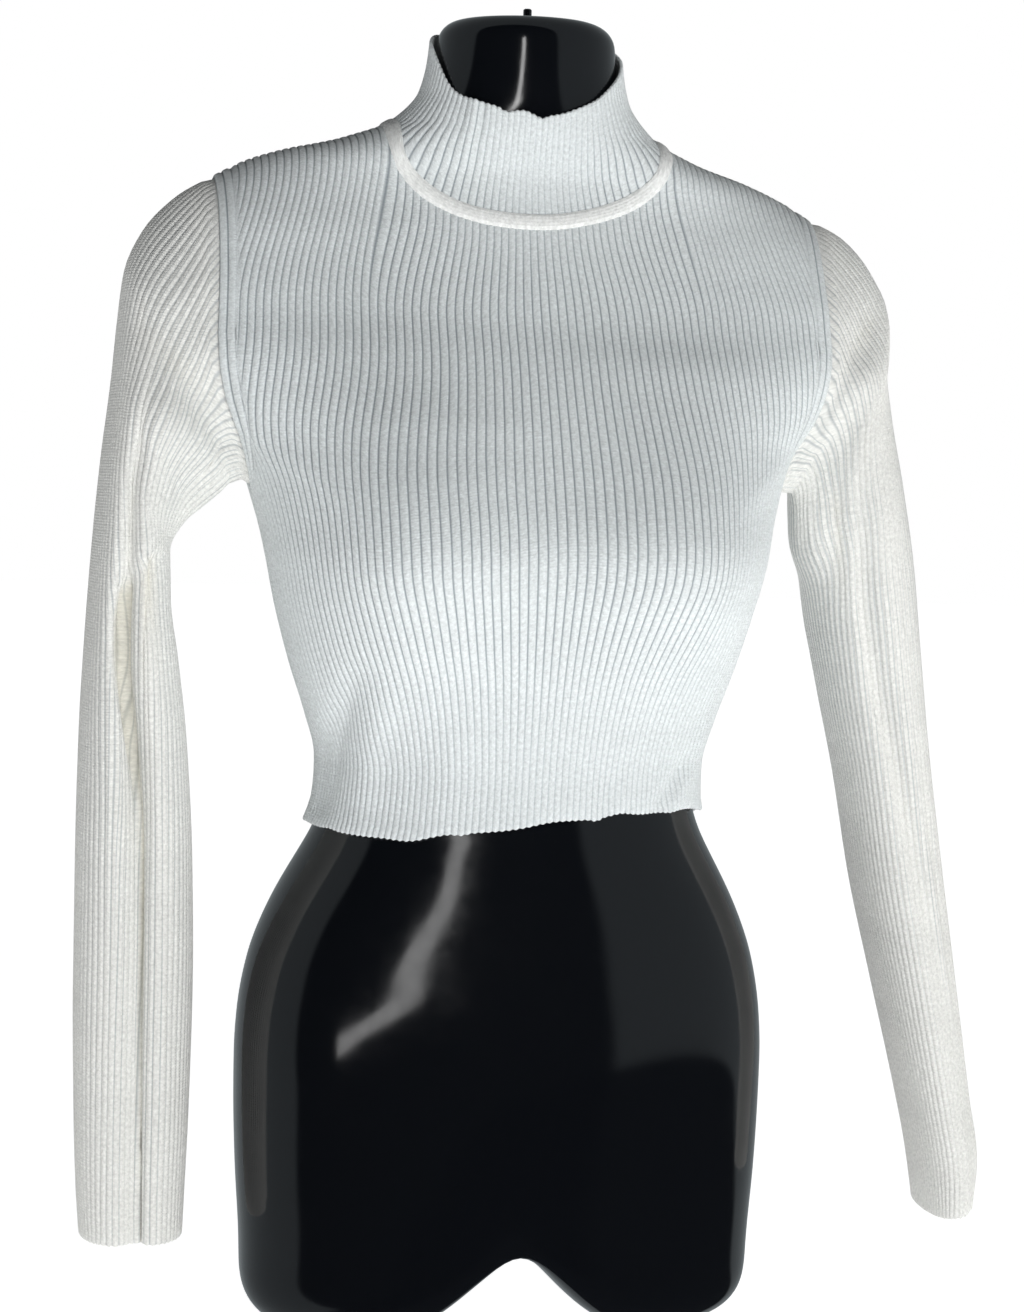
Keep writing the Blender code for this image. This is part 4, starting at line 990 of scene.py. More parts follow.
def lower_ribs(face, ribs, chest_x, in_border, levels):
    """Angle of each rib below the chest, and how much of its relief each one keeps.

    The ribs run on at an even pitch, and those that reach the armhole's border end there.
    """
    from_middle = ribs - 0.5 * ribs[-1]
    half_count = 0.5 * ribs[-1]
    pitch_at = free_pitch(face, half_count)
    angle_table = np.zeros((len(levels), len(ribs)))
    kept_table = np.ones((len(levels), len(ribs)))
    for row, level in enumerate(levels):
        angles, arcs, across = slice_across(face, level)
        upright = float(smooth_step(UNDERARM_HEIGHT, CHEST_HEIGHT, level))
        crowded = float(smooth_step(UNDERARM_HEIGHT, UNDERARM_HEIGHT + CROWDING_RISE, level))
        for side in (-1, 1):
            mine = side * from_middle > 0.0
            number = np.abs(from_middle[mine])
            pitch = float(pitch_at[side](level))
            length = abs(float(arcs[0] if side < 0 else arcs[-1])) - 0.5 * SEAM_GAP
            upright_arc = side * np.interp(chest_x[mine], across, arcs)
            apart = drawn_apart(number, half_count, level)
            wanted = (1.0 - upright) * apart * pitch + upright * upright_arc
            inner_x = float(armhole_x(face, level)) - BORDER_RIBS * CHEST_PITCH
            inner_arc = abs(float(np.interp(side * inner_x, across, arcs)))
            step = (1.0 - upright) * pitch + upright * (length - inner_arc) / BORDER_RIBS
            limit = length - BORDER_RIBS * step
            bordering = length - (half_count - number) * step
            place = np.where(in_border[mine], bordering, np.minimum(wanted, limit))
            angle_table[row, mine] = np.interp(side * place, arcs, angles)
            fading = smooth_step(0.0, RIB_END_FADE * step, limit - wanted)
            kept_table[row, mine] = np.where(
                in_border[mine], 1.0, 1.0 - crowded * (1.0 - fading))
        angle_table[row, from_middle == 0.0] = np.interp(0.0, arcs, angles)
    return angle_table, kept_table


def panel_rows(chest, total):
    """Places of rows up each rib: even below the chest, and above it until its end."""
    lower_count = int(PANEL_ROWS * LOWER_ROWS)
    first, last = edge_rows(total)
    lower = np.linspace(0.0, 1.0, lower_count)[1:, None] * chest
    steps = np.linspace(0.0, 1.0, PANEL_ROWS - lower_count + 1)[1:, None]
    upper = np.minimum(chest + steps * (total - chest).max(), total - EDGE_ROLL)
    return np.concatenate((first, lower, upper, last[1:]))


def panel_hem(face, across):
    """Height of a panel's hem with its ripples."""
    hem = smooth_curve(HEM_ACROSS, HEM_HEIGHTS[face])(across)
    for place, width, rise in HEM_RIPPLES[face]:
        hem = hem + rise * bell(across - place, width)
    return hem


def panel_lines(face, count):
    """Rib numbers of a panel, and the angles, heights and relief at many places up them."""
    ribs, relief, chest_x, top_x, border, in_border = panel_ribs(face, count)
    edge_share = 1.0 - 0.5 * SEAM_GAP / chest_x[-1]
    levels = np.linspace(LOWEST_LEVEL, CHEST_HEIGHT, PANEL_LEVELS)
    below, kept = lower_ribs(face, ribs, chest_x, in_border, levels)
    angles, arcs, _ = slice_across(face, CHEST_HEIGHT)
    chest_arcs = np.interp(-face * below[-1], -face * angles, arcs)
    hems = panel_hem(face, chest_arcs / np.abs(chest_arcs[[0, -1]]).mean())
    tops = np.where(
        np.abs(top_x) < NECK_POINT_HALF_WIDTH,
        neckline_height(face, top_x),
        ridge_height(np.abs(top_x * edge_share)),
    )
    samples = np.linspace(0.0, 1.0, DENSE_SAMPLES)[:, None]
    heights = np.concatenate((
        hems + (UNDERARM_HEIGHT - hems) * samples,
        UNDERARM_HEIGHT + (tops - UNDERARM_HEIGHT) * np.sin(0.5 * math.pi * samples[1:]),
    ))
    part = np.clip((heights - CHEST_HEIGHT) / (tops - CHEST_HEIGHT), 0.0, 1.0)
    free_x = chest_x + (top_x - chest_x) * smooth_step(LEAN_START, 1.0, part)
    limit = np.where(in_border, chest_x[-1], border)
    above = angle_at_x(face, np.clip(free_x, -limit, limit) * edge_share, heights)
    low = heights < CHEST_HEIGHT
    inside = smooth_step(0.0, RIB_END_FADE * CHEST_PITCH, border - np.abs(free_x))
    inside = np.where(in_border, 1.0, inside)
    angles = np.where(low, by_column(heights, levels, below), above)
    return ribs, angles, heights, relief * np.where(
        low, by_column(heights, levels, kept), inside)


def panel_grid(face, count):
    """Rib numbers of a panel, its grid's angles, heights and relief, and their lengths up."""
    ribs, *lines = panel_lines(face, count)
    lengths = travelled(cloth_point(lines[0], lines[1], 0.0))
    total = lengths[-1] - 0.5 * SEAM_GAP
    chest = by_column(np.array([CHEST_HEIGHT]), lines[1], lengths)[0]
    places = panel_rows(chest, total)
    index = np.arange(len(lengths))
    found = by_column(places, lengths, index)
    return ribs, [by_column(found, index, values) for values in lines], places, total


def build_panel(face, name, settings):
    """Build one panel as a ribbed shell."""
    ribs, (angles, heights, relief), lengths, total = panel_grid(face, settings.panel_ribs)
    crease = creases_at(PANEL_CREASES[face], form_point(angles, heights)[..., 0], heights)
    room = CLOTH_CLEARANCE + CREASE_ROOM * stand_off(angles, heights) - CREASE_CLEARANCE
    side = np.minimum(ribs, ribs[-1] - ribs) * CHEST_PITCH
    end = np.minimum(lengths, total - lengths) + CREASE_EDGE_START
    crease = np.maximum(crease, -room) * smooth_step(
        0.0, CREASE_SIDE_FADE, np.minimum(end, side))
    heights = heights - scallop(ribs % 1.0, lengths)
    lifts = wall_lifts(relief, roll(lengths), roll(total - lengths), settings.rib_depth)
    grids = [*(cloth_point(angles, heights, lift + crease) for lift in lifts), lengths]
    if face == BACK:
        grids = [grid[:, ::-1] for grid in grids]
    return shell(name, grids[:2], ribs, grids[2], False)


# ---------------------------------------------------------------- sleeves

def armhole_edge(face, side, places):
    """Angles and heights up the edge of an armhole, from 0 at the underarm to 1."""
    edge_share = 1.0 - 0.5 * SEAM_GAP / float(armhole_x(face, CHEST_HEIGHT))
    tip = float(ridge_height(armhole_x(face, CHEST_HEIGHT) * edge_share))
    rise = np.sin(np.linspace(0.0, 0.5 * math.pi, 2 * DENSE_SAMPLES))
    heights = UNDERARM_HEIGHT + (tip - UNDERARM_HEIGHT) * rise
    held = np.where(heights > CHEST_HEIGHT, edge_share, 1.0)
    angles = angle_at_x(face, side * armhole_x(face, heights) * held, heights)
    lengths = travelled(cloth_point(angles, heights, 0.0))
    wanted = places * (lengths[-1] - 0.5 * SEAM_GAP)
    return np.interp(wanted, lengths, angles), np.interp(wanted, lengths, heights)


def armhole_start(side, turns):
    """Middle of the wall round the armhole, and the form's normal there."""
    front = armhole_edge(FRONT, side, np.clip(1.0 - turns / math.pi, 0.0, 1.0))
    back = armhole_edge(BACK, side, np.clip(1.0 + turns / math.pi, 0.0, 1.0))
    angles = np.where(turns > 0.0, front[0], back[0])
    heights = np.where(turns > 0.0, front[1], back[1])
    return cloth_point(angles, heights, 0.5 * CLOTH_WALL), form_normal(angles, heights)


def ring_shape(row, turn, side):
    """Points of sleeve rings at turns round them, from the rings' own sizes."""
    cosine, sine = np.cos(turn), np.sin(turn)
    bend = 2.0 / SLEEVE_SQUARENESS
    along = np.sign(cosine) * np.abs(cosine) ** bend
    x, z = (
        0.5 * (row["outer_" + axis] + row["inner_" + axis])
        + 0.5 * (row["outer_" + axis] - row["inner_" + axis]) * along
        for axis in "xz")
    reach = np.where(sine > 0.0, -row["front"], row["back"]) * np.abs(sine) ** bend
    crease = bell(along - row["fold_at"], FOLD_SPREAD)
    reach = reach + np.where(sine > 0.0, row["fold"], -row["back_fold"]) * crease
    return np.stack((side * x, row["mid_y"] + reach, z), axis=-1)


def sleeve_rings(side):
    """Dense rings of a sleeve's middle surface, from the armhole to the cuff.

    Each ring runs from the underarm by way of the front to the tip of the shoulder and
    on round the back. The armhole's normals and the rings' places come with them.
    """
    rows = dict(zip(SLEEVE_COLUMNS, np.array(SLEEVE_ROWS[side]).T))
    lengths = travelled(0.5 * np.stack((
        rows["outer_x"] + rows["inner_x"],
        rows["outer_z"] + rows["inner_z"],
    ), axis=-1))
    places = lengths / lengths[-1]
    rings_at = np.linspace(0.0, 1.0, SLEEVE_RINGS) ** RING_CROWDING
    last = 1.0 - np.array(EDGE_PLACES[::-1]) * EDGE_ROLL / lengths[-1]
    rings_at = np.concatenate((rings_at[:-1], last))
    row = {name: smooth_curve(places, rows[name])(rings_at)[:, None] for name in SLEEVE_COLUMNS}
    turns = np.linspace(math.pi, -math.pi, SLEEVE_SAMPLES)
    rings = ring_shape(row, turns[None, :], side)
    start, normal = armhole_start(side, turns)
    hold = 1.0 - smooth_step(0.0, SLEEVE_BLEND, rings_at)[:, None, None]
    rings = rings + hold * (start - rings[0])
    away = unit(rings[CLEAR_RING] - start)
    onward = unit(away - normal * np.sum(away * normal, axis=-1, keepdims=True))
    facing = grid_normals(rings[:CLEAR_RING + 1], closed=True)[1]
    facing = facing * np.sign(np.sum(facing * normal))
    leaning = np.clip(-np.sum(facing * onward, axis=-1), 0.0, 1.0)
    clear = 0.5 * SEAM_GAP + SEAM_STEP * CLOTH_WALL * leaning
    fade = np.exp(-rings_at * lengths[-1] / SEAM_FADE)[:, None, None]
    rings = rings + onward * clear[:, None] * fade
    rings[0] = start - onward * SEAM_LAP
    rings[1] = start + onward * SEAM_GAP
    return rings, normal, rings_at, lengths[-1]


def cap_shares(side, columns, distances):
    """Share of the way from the shoulder tip to the underarm of each rib on each ring."""
    from_tip = np.abs(1.0 - 2.0 * columns)
    at_seam, beside = (curve(from_tip) for curve in curves(CAP_ROWS))
    beside = np.where(columns < 0.5, beside, 0.5 * (beside + from_tip))
    near, far = CAP_DISTANCES[side]
    first = 1.0 - np.exp(-distances / near)[:, None]
    second = smooth_step(near, far, distances)[:, None]
    shares = at_seam + (beside - at_seam) * first
    return shares + (from_tip - shares) * second


def sleeve_middle(side, columns):
    """Middle surface of a sleeve on its ribs, and the armhole's normals."""
    dense, normal, rings_at, length = sleeve_rings(side)
    tip = SLEEVE_SAMPLES // 2
    follow = smooth_step(0.0, RIB_FREEDOM, rings_at)
    from_tip = cap_shares(side, columns, rings_at * length)
    rings = np.zeros((len(rings_at), len(columns), 3))
    for ring, lengths in enumerate(travelled(dense, axis=1)):
        front, girth = lengths[tip], lengths[-1]
        held = np.where(
            columns < 0.5,
            front * (1.0 - from_tip[ring]),
            front + (girth - front) * from_tip[ring],
        )
        wanted = (held + (columns * girth - held) * follow[ring]) % girth
        rings[ring] = by_column(wanted, lengths, dense[ring])
        if ring == 0:
            start_normal = by_column(wanted, lengths, normal)
    return rings, start_normal


def flap_at(side, x, height):
    """How far the fold in a sleeve's front presses the cloth in at each place."""
    edge, drop, width, reach = (curve(height) for curve in curves(SLEEVE_FLAPS[side]))
    inward = edge - side * x
    dropped = smooth_step(0.0, 1.0, inward / width) * bell(inward, reach)
    return drop * (FLAP_LIP * bell(inward + LIP_OFFSET * width, LIP_WIDTH * width) - dropped)


def sleeve_creases(side, rings, shares, lengths):
    """How far each place of a sleeve is pressed out (or in, if minus), and its rings then."""
    outward = ring_normals(rings)
    creases = np.zeros(lengths.shape)
    for face, facing in ((FRONT, shares < 0.5), (BACK, shares >= 0.5)):
        spot = creases_at(SLEEVE_CREASES[side][face], rings[..., 0], rings[..., 2])
        if face == FRONT:
            spot = spot + flap_at(side, rings[..., 0], rings[..., 2])
        turned = smooth_step(*FACING_FADE, face * outward[..., 1])
        creases += spot * turned * facing
    creases = creases * smooth_step(*CREASE_START, lengths)
    return creases, rings + outward * creases[..., None]


def build_sleeve(side, name, settings):
    """Build one sleeve as a ribbed shell with its main folds."""
    ribs, relief = rib_columns(settings.sleeve_ribs, closed=True)
    shares = ribs / settings.sleeve_ribs
    rings, start_normal = sleeve_middle(side, shares)
    lengths = travelled(rings)
    creases, rings = sleeve_creases(side, rings, shares, lengths)
    from_seam, to_cuff = lengths - lengths[1], lengths[-1] - lengths
    own = smooth_step(-SEAM_TURN, SEAM_TURN, from_seam)[..., None]
    own[:2] = 0.0
    outward = unit(ring_normals(rings) * own + start_normal * (1.0 - own))
    rings[..., 2] -= scallop(ribs, to_cuff)
    lifts = wall_lifts(
        relief, roll(to_cuff), roll(from_seam), settings.rib_depth * SLEEVE_RIB_SHARE)
    grids = [to_cuff, smooth_step(*FOLDED_DEPTHS, -creases)]
    for lift, tucked in zip(lifts, np.array(SEAM_TUCK).T):
        lift[:2] = tucked[:, None]
        grids.append(rings + outward * (lift - 0.5 * CLOTH_WALL)[..., None])
    to_cuff, folded, *walls = (grid[::-1, ::-side] for grid in grids)
    return shell(name, walls, ribs, to_cuff, True, folded)


# ---------------------------------------------------------------- collar and neck band

def neck_columns(count):
    """Angles spread evenly round the neck, and the height of the neckline at each."""
    places = np.linspace(-math.pi, math.pi, NECK_SAMPLES)
    x = NECK_POINT_HALF_WIDTH * np.cos(places)
    height = np.where(places < 0.0, neckline_height(FRONT, x), neckline_height(BACK, x))
    angle = np.where(places <= 0.0, angle_at_x(FRONT, x, height), angle_at_x(BACK, x, height))
    angle[0] = -math.pi
    middle_height = np.full_like(angle, 0.5 * (NECK_POINT_HEIGHT + COLLAR_TOP_SIDE))
    around = travelled(form_point(angle, middle_height))
    index = np.arange(len(angle))
    found = np.interp(count / count[-1] * around[-1], around, index)
    return np.interp(found, index, angle), np.interp(found, index, height)


def collar_top(angle):
    """Height of the collar's upper edge with its small ripples."""
    sine = np.sin(angle)
    top = COLLAR_TOP_SIDE + COLLAR_TOP_TILT * sine - COLLAR_TOP_DIP * sine**2
    for place, spread, rise in COLLAR_RIPPLES:
        away = (angle - place + math.pi) % (2.0 * math.pi) - math.pi
        top = top + rise * bell(away, spread)
    return top


def neck_lines(count, hanging=0.0):
    """Angle of each line up the neck, and heights and lengths from neckline to top edge."""
    angle, start = (values[:-1] for values in neck_columns(count))
    top = collar_top(angle) + hanging
    heights = start + (top - start) * np.linspace(0.0, 1.0, DENSE_SAMPLES)[:, None]
    return angle, heights, travelled(cloth_point(angle, heights, 0.0))


def build_collar(name, settings):
    """Build the standing collar as a ribbed shell."""
    ribs, relief = rib_columns(settings.collar_ribs, closed=True)
    angle, heights, lengths = neck_lines(
        np.append(ribs, settings.collar_ribs), scallop(ribs % 1.0))
    low = BAND_WIDTH + 2.0 * SEAM_GAP
    total = lengths[-1] - low
    first, last = edge_rows(total)
    inner = np.linspace(0.0, 1.0, COLLAR_ROWS)[1:-1, None] * total
    places = np.concatenate((first, inner, last))
    rows = by_column(places + low, lengths, heights)
    lifts = wall_lifts(
        relief, roll(total - places), roll(places), settings.rib_depth * COLLAR_RIB_SHARE)
    pinch = sum(rise * bell(angle - place, spread) for place, spread, rise in COLLAR_CREASES)
    pinch = pinch * smooth_step(*PINCH_FADE, places / total)
    walls = [cloth_point(angle, rows, lift + pinch) for lift in lifts]
    return shell(name, walls, ribs, places, True)


def build_neck_band(name):
    """Build the rolled strip along the neckline: smooth, with a slightly uneven roll."""
    angle, heights, lengths = neck_lines(np.arange(BAND_STEPS + 1) / BAND_STEPS)
    turn = np.linspace(0.0, math.pi, BAND_ROWS)[:, None]
    across = SEAM_GAP + BAND_WIDTH * 0.5 * (1.0 - np.cos(turn))
    over = across - BAND_LIP * np.cos(turn)
    over_rows, rows = (by_column(places, lengths, heights) for places in (over, across))
    over_rows[0] -= BAND_LIP
    first, second = (np.sin(waves * angle + start) for waves, start in BAND_WAVES)
    thickness = BAND_THICKNESS * (1.0 + BAND_UNEVEN * first * second)
    lift = BAND_EDGE + (thickness - BAND_EDGE) * np.sin(turn) ** BAND_ROUNDNESS
    walls = (cloth_point(angle, over_rows, lift), cloth_point(angle, rows, 0.0 * rows))
    courses = np.broadcast_to(across, rows.shape)
    return shell(name, walls, np.arange(BAND_STEPS) / BAND_STEPS_PER_RIB, courses, True)


# ---------------------------------------------------------------- the form

def form_rings():
    """Height and inset of each ring of the form's cage, from its foot to its neck."""
    turn = np.linspace(0.0, 0.5 * math.pi, ROUNDING_RINGS)
    levels = np.linspace(FOOT_ROUNDING, FORM_HEIGHT - NECK_ROUNDING, BODY_RINGS)[1:-1]
    foot = zip(FOOT_ROUNDING * (1.0 - np.cos(turn)), FOOT_ROUNDING * (1.0 - np.sin(turn)))
    top = zip(
        FORM_HEIGHT - NECK_ROUNDING * (1.0 - np.sin(turn)),
        NECK_ROUNDING * (1.0 - np.cos(turn)))
    return [*foot, *((height, 0.0) for height in levels), *top]


def close_end(builder, ring, columns, upward):
    """Fill a ring with rows of squares that run from front to back."""
    half = len(ring) // 2
    lines = [[ring[0]] * (columns + 1)]
    for index in range(1, half):
        front, back = ring[-index], ring[index]
        inner = [builder.verts.new(front.co.lerp(back.co, step / columns))
                 for step in range(1, columns)]
        lines.append([front, *inner, back])
    lines.append([ring[half]] * (columns + 1))
    for first, second in zip(lines, lines[1:]):
        for step in range(columns):
            corners = [first[step], first[step + 1], second[step + 1], second[step]]
            corners = list(dict.fromkeys(corners))
            builder.faces.new(corners if upward else corners[::-1])


def build_form(name, settings):
    """Build the form's skin from rings on its formula, then subdivide it smooth."""
    builder = bmesh.new()
    around = 2.0 * math.pi * np.arange(settings.sides) / settings.sides
    rings = []
    for height, inset in form_rings():
        depth = 0.5 * (front_at(height) + back_at(height))
        angles = np.arctan2(depth * np.sin(around), half_width_at(height) * np.cos(around))
        points = form_point(angles, np.full_like(angles, height), inset)
        rings.append([builder.verts.new(point) for point in points])
    for lower, upper in zip(rings, rings[1:]):
        for index in range(settings.sides):
            after = (index + 1) % settings.sides
            builder.faces.new((lower[index], lower[after], upper[after], upper[index]))
    close_end(builder, rings[0], FOOT_COLUMNS, upward=False)
    close_end(builder, rings[-1], NECK_COLUMNS, upward=True)
    for vertex in builder.verts:
        share = min(abs(vertex.co.x) / NOTCH_HALF_WIDTH, 1.0)
        arch = (1.0 - share**NOTCH_FLARE) ** NOTCH_NARROWNESS
        fade = max(0.0, 1.0 - vertex.co.z / NOTCH_FADE) ** 2
        vertex.co.z += NOTCH_DEPTH * arch * fade
        vertex.co += Vector(MIDDLE)
    mesh = bpy.data.meshes.new(name)
    builder.to_mesh(mesh)
    builder.free()
    mesh.shade_smooth()
    made = add_object(name, mesh)
    rounding = made.modifiers.new("smooth skin", "SUBSURF")
    rounding.levels = 2
    rounding.render_levels = 2
    return made


# ---------------------------------------------------------------- materials

def connect(node, inputs):
    """Link or set a node's inputs, given by name or in their order.

    A node given as an input stands for its first live output.
    """
    if not isinstance(inputs, dict):
        live = [socket for socket in node.inputs if socket.enabled]
        inputs = dict(zip(live, inputs))
    for socket, value in inputs.items():
        socket = node.inputs[socket] if isinstance(socket, str) else socket
        if isinstance(value, bpy.types.Node):
            value = next(output for output in value.outputs if output.enabled)
        if isinstance(value, bpy.types.NodeSocket):
            node.id_data.links.new(value, socket)
        else:
            socket.default_value = value


def add_node(tree, kind, inputs=(), **settings):
    """Add a node with its own settings, and link or set its inputs."""
    node = tree.nodes.new("ShaderNode" + kind)
    for key, value in settings.items():
        setattr(node, key, value)
    connect(node, inputs)
    return node


def new_material(name):
    """Make an empty material and return it with its shader and a function that adds nodes."""
    material = bpy.data.materials.new(name)
    material.use_nodes = True
    tree = material.node_tree
    return material, tree.nodes["Principled BSDF"], partial(add_node, tree)


def knit_material(name, settings, yarn, contrast, between=0.0):
    """Rib knit of combed cotton: flat ribs of two wales with fine rows of stitches.

    The eye gets a matte, grainy white with soft dark lines between the ribs, clearest
    where the cloth is stretched; these lines are painted shade, laid over the ribs' real
    relief. contrast is how dark that painted shade is there, and between how dark is the
    painted shade of the finer line down the middle of each rib. Deep in a fold the colour
    is warmed by painted bounced light.
    """
    material, shader, add = new_material(name)
    knit = add("UVMap", uv_map="knit")
    along = add("SeparateXYZ", (knit,)).outputs
    place = add("TexCoord").outputs["Object"]
    lean = add("Math", (along["X"], 0.25), operation="PINGPONG")
    slant = add("Math", (lean, STITCH_SLANT), operation="MULTIPLY")
    courses = add("Math", (along["Y"], 2.0 * math.pi / STITCH_HEIGHT, slant),
                  operation="MULTIPLY_ADD")
    stitch = add("Math", (courses,), operation="SINE")
    flat = add("VectorMath", (knit, (CHEST_PITCH, 1.0, 1.0)), operation="MULTIPLY")
    # Lint and twist of the yarn, a little larger than a stitch.
    grain = add("TexNoise", {
        "Vector": flat, "Scale": 0.8 / STITCH_HEIGHT, "Detail": 3.0, "Roughness": 0.65})
    height = add("Math", (stitch, 0.35, grain), operation="MULTIPLY_ADD")
    bump = add("Bump", {"Strength": 0.45, "Distance": 0.0005, "Height": height})
    speckle = add("MapRange", (grain, 0.32, 0.68, 0.82, 1.08))
    # Faint random bands of tone, 140 mm wide and 24 mm high: painted shade standing in for soft
    # undulations of the cloth.
    drawn = add("VectorMath", (place, (7.0, 7.0, 42.0)), operation="MULTIPLY")
    bands = add("TexNoise", {"Vector": drawn, "Scale": 1.0, "Detail": 2.0})
    tone = add("MapRange", (bands, 0.3, 0.7, 0.955, 1.015))
    shade = add("Math", (speckle, tone), operation="MULTIPLY")
    colour = tuple(yarn)
    if contrast > 0.0:
        # Painted shade between the ribs: the groove grey is mixed in at each groove, stronger
        # where the ribs are drawn apart, with a fainter line down the middle of wide-open ribs.
        opening = add("Attribute", attribute_name="opening").outputs["Fac"]
        folded = add("Attribute", attribute_name="folded").outputs["Fac"]
        aside = add("Math", (along["X"], 0.5), operation="PINGPONG")
        strength = add("MapRange", (opening, 0.0, 1.0, 0.2 * contrast, contrast))
        deep = add("MapRange", (aside, 0.17, 0.0, 0.0, strength), **SMOOTH)
        split = add("MapRange", (opening, 0.35, 1.0, 0.0, between))
        wales = add("MapRange", (aside, 0.38, 0.5, 0.0, split), **SMOOTH)
        lines = add("Math", (deep, wales), operation="ADD")
        uneven = add("Math", (lines, speckle), operation="MULTIPLY")
        groove_shaded = add("Mix", (uneven, colour, tuple(settings.groove)), data_type="RGBA")
        # Painted light: deep in a fold the colour is warmed towards the tint of bounced light.
        glow = add("Math", (folded, 0.42), operation="MULTIPLY")
        colour = add("Mix", (glow, groove_shaded, tuple(settings.fold_bounce_light)), data_type="RGBA")
    toned = add("Mix", (1.0, colour, shade), data_type="RGBA", blend_type="MULTIPLY")
    connect(shader, {
        "Base Color": toned, "Normal": bump, "Roughness": 0.92,
        "Sheen Weight": 0.25, "Sheen Roughness": 0.5, "Specular IOR Level": 0.25})
    return material


def plastic_material(name, settings):
    """Blow-moulded ABS, polished black: a near-mirror skin with a faint waviness."""
    material, shader, add = new_material(name)
    place = add("TexCoord").outputs["Object"]
    # Waves 70 mm long, left by the mould, under handling haze in patches of 17 mm.
    waves = add("TexNoise", {"Vector": place, "Scale": 14.0, "Detail": 1.0})
    bump = add("Bump", {"Strength": 0.08, "Distance": 0.002, "Height": waves})
    haze = add("TexNoise", {
        "Vector": place, "Scale": 60.0, "Detail": 5.0, "Roughness": 0.65})
    rough = add("MapRange", (
        haze, 0.35, 0.75, settings.roughness * 0.85, settings.roughness * 1.5))
    connect(shader, {
        "Base Color": settings.plastic, "IOR": 1.53, "Roughness": rough, "Normal": bump})
    return material


def floor_material(settings):
    """Matt white vinyl, rolled out flat and lit from beneath so that it reads as white."""
    material, shader, add = new_material("matt_white_vinyl")
    place = add("TexCoord").outputs["Object"]
    # Scuffs in patches of 33 mm.
    grain = add("TexNoise", {"Vector": place, "Scale": 30.0, "Detail": 3.0})
    rough = add("MapRange", (grain, 0.0, 1.0, 0.85, 1.0))
    across = add("SeparateXYZ", (place,)).outputs["X"]
    glow = add("MapRange", (across, -0.9, 0.4, settings.floor_glow * 0.84, settings.floor_glow))
    connect(shader, {
        "Base Color": settings.floor, "Specular IOR Level": 0.1, "Roughness": rough,
        "Emission Color": WHITE, "Emission Strength": glow})
    return material


# ---------------------------------------------------------------- camera, lights and floor

def camera_back(azimuth, elevation):
    """Direction from the middle of the view back to the camera."""
    return Vector((
        math.sin(azimuth) * math.cos(elevation),
        -math.cos(azimuth) * math.cos(elevation),
        math.sin(elevation),
    ))


def set_camera(settings):
    """Place the camera by its turn round the form and its height above the horizon."""
    data = bpy.data.cameras.new("camera")
    data.sensor_width = 36.0
    data.lens = data.sensor_width * settings.distance / settings.view_height
    camera = add_object("camera", data)
    back = camera_back(settings.azimuth, settings.elevation)
    target = Vector(MIDDLE) + Vector(VIEW_CENTRE)
    facing = (-back).to_track_quat("-Z", "Y").to_matrix().to_4x4()
    turned = facing @ Matrix.Rotation(settings.roll, 4, "Z")
    camera.matrix_world = Matrix.Translation(target + back * settings.distance) @ turned
    bpy.context.scene.camera = camera


def set_lights(settings):
    """Soft light from the front and from low down.

    Polished surfaces mirror two narrow windows instead of it.
    """
    for name, (place, size, share, turn, colour, mirrored) in LIGHTS.items():
        data = bpy.data.lights.new(name, "AREA")
        data.shape = "RECTANGLE"
        data.size, data.size_y = size
        data.energy = settings.key * share
        data.color = linear_colour(colour)[:3]
        light = add_object(name, data)
        light.location = place
        way = Vector(MIDDLE) + Vector(LIGHT_AIM) - Vector(place)
        turned = Quaternion((0.0, 0.0, 1.0), math.radians(turn))
        light.rotation_mode = "QUATERNION"
        light.rotation_quaternion = way.to_track_quat("-Z", "Y") @ turned
        light.visible_glossy = mirrored
        light.visible_diffuse = not mirrored


def set_surround(settings):
    """A white room that lights the cloth from low down, most at its middle.

    Polished surfaces mirror pale walls at the sides, a dark room in front and a dark
    ground.
    """
    world = bpy.data.worlds.new("white_surround")
    world.use_nodes = True
    bpy.context.scene.world = world
    world.node_tree.nodes.clear()
    add = partial(add_node, world.node_tree)
    path = add("LightPath").outputs
    way = add("TexCoord").outputs["Generated"]
    upward = add("SeparateXYZ", (way,)).outputs
    level, high = settings.surround, settings.surround * settings.overhead
    dimming = add("MapRange", (upward["Z"], 0.0, 0.32, level, high), **SMOOTH)
    leftward = add("MapRange", (upward["X"], -0.9, 0.1, 0.42, 1.0), **SMOOTH)
    rightward = add("MapRange", (upward["X"], 0.1, 0.8, 1.0, 0.55), **SMOOTH)
    sides = add("Math", (leftward, rightward), operation="MULTIPLY")
    strength = add("Math", (dimming, sides), operation="MULTIPLY")
    lit = add("Background", (linear_colour("#F2F6F8"), strength))
    dark_way = tuple(camera_back(DARK_AZIMUTH, 0.0))
    toward_dark = add("VectorMath", (way, dark_way), operation="DOT_PRODUCT")
    bright, dim = settings.mirrored, settings.mirrored * 0.03
    walls = add("MapRange", (toward_dark, 0.60, 0.66, bright, dim), **SMOOTH)
    ground_way = tuple(-camera_back(GROUND_AZIMUTH, GROUND_TILT))
    toward_ground = add("VectorMath", (way, ground_way), operation="DOT_PRODUCT")
    ground = add("MapRange", (toward_ground, 0.56, 0.61, 1.0, 0.05), **SMOOTH)
    dull = add("Math", (walls, ground), operation="MULTIPLY")
    mirrored = add("Background", (linear_colour("#DCE6EA"), dull))
    seen = add("Background", (WHITE, 1.0))
    shiny = add("MixShader", (path["Is Glossy Ray"], lit, mirrored))
    mixed = add("MixShader", (path["Is Camera Ray"], shiny, seen))
    add("OutputWorld", {"Surface": mixed})
    bpy.context.scene.view_settings.view_transform = "Standard"


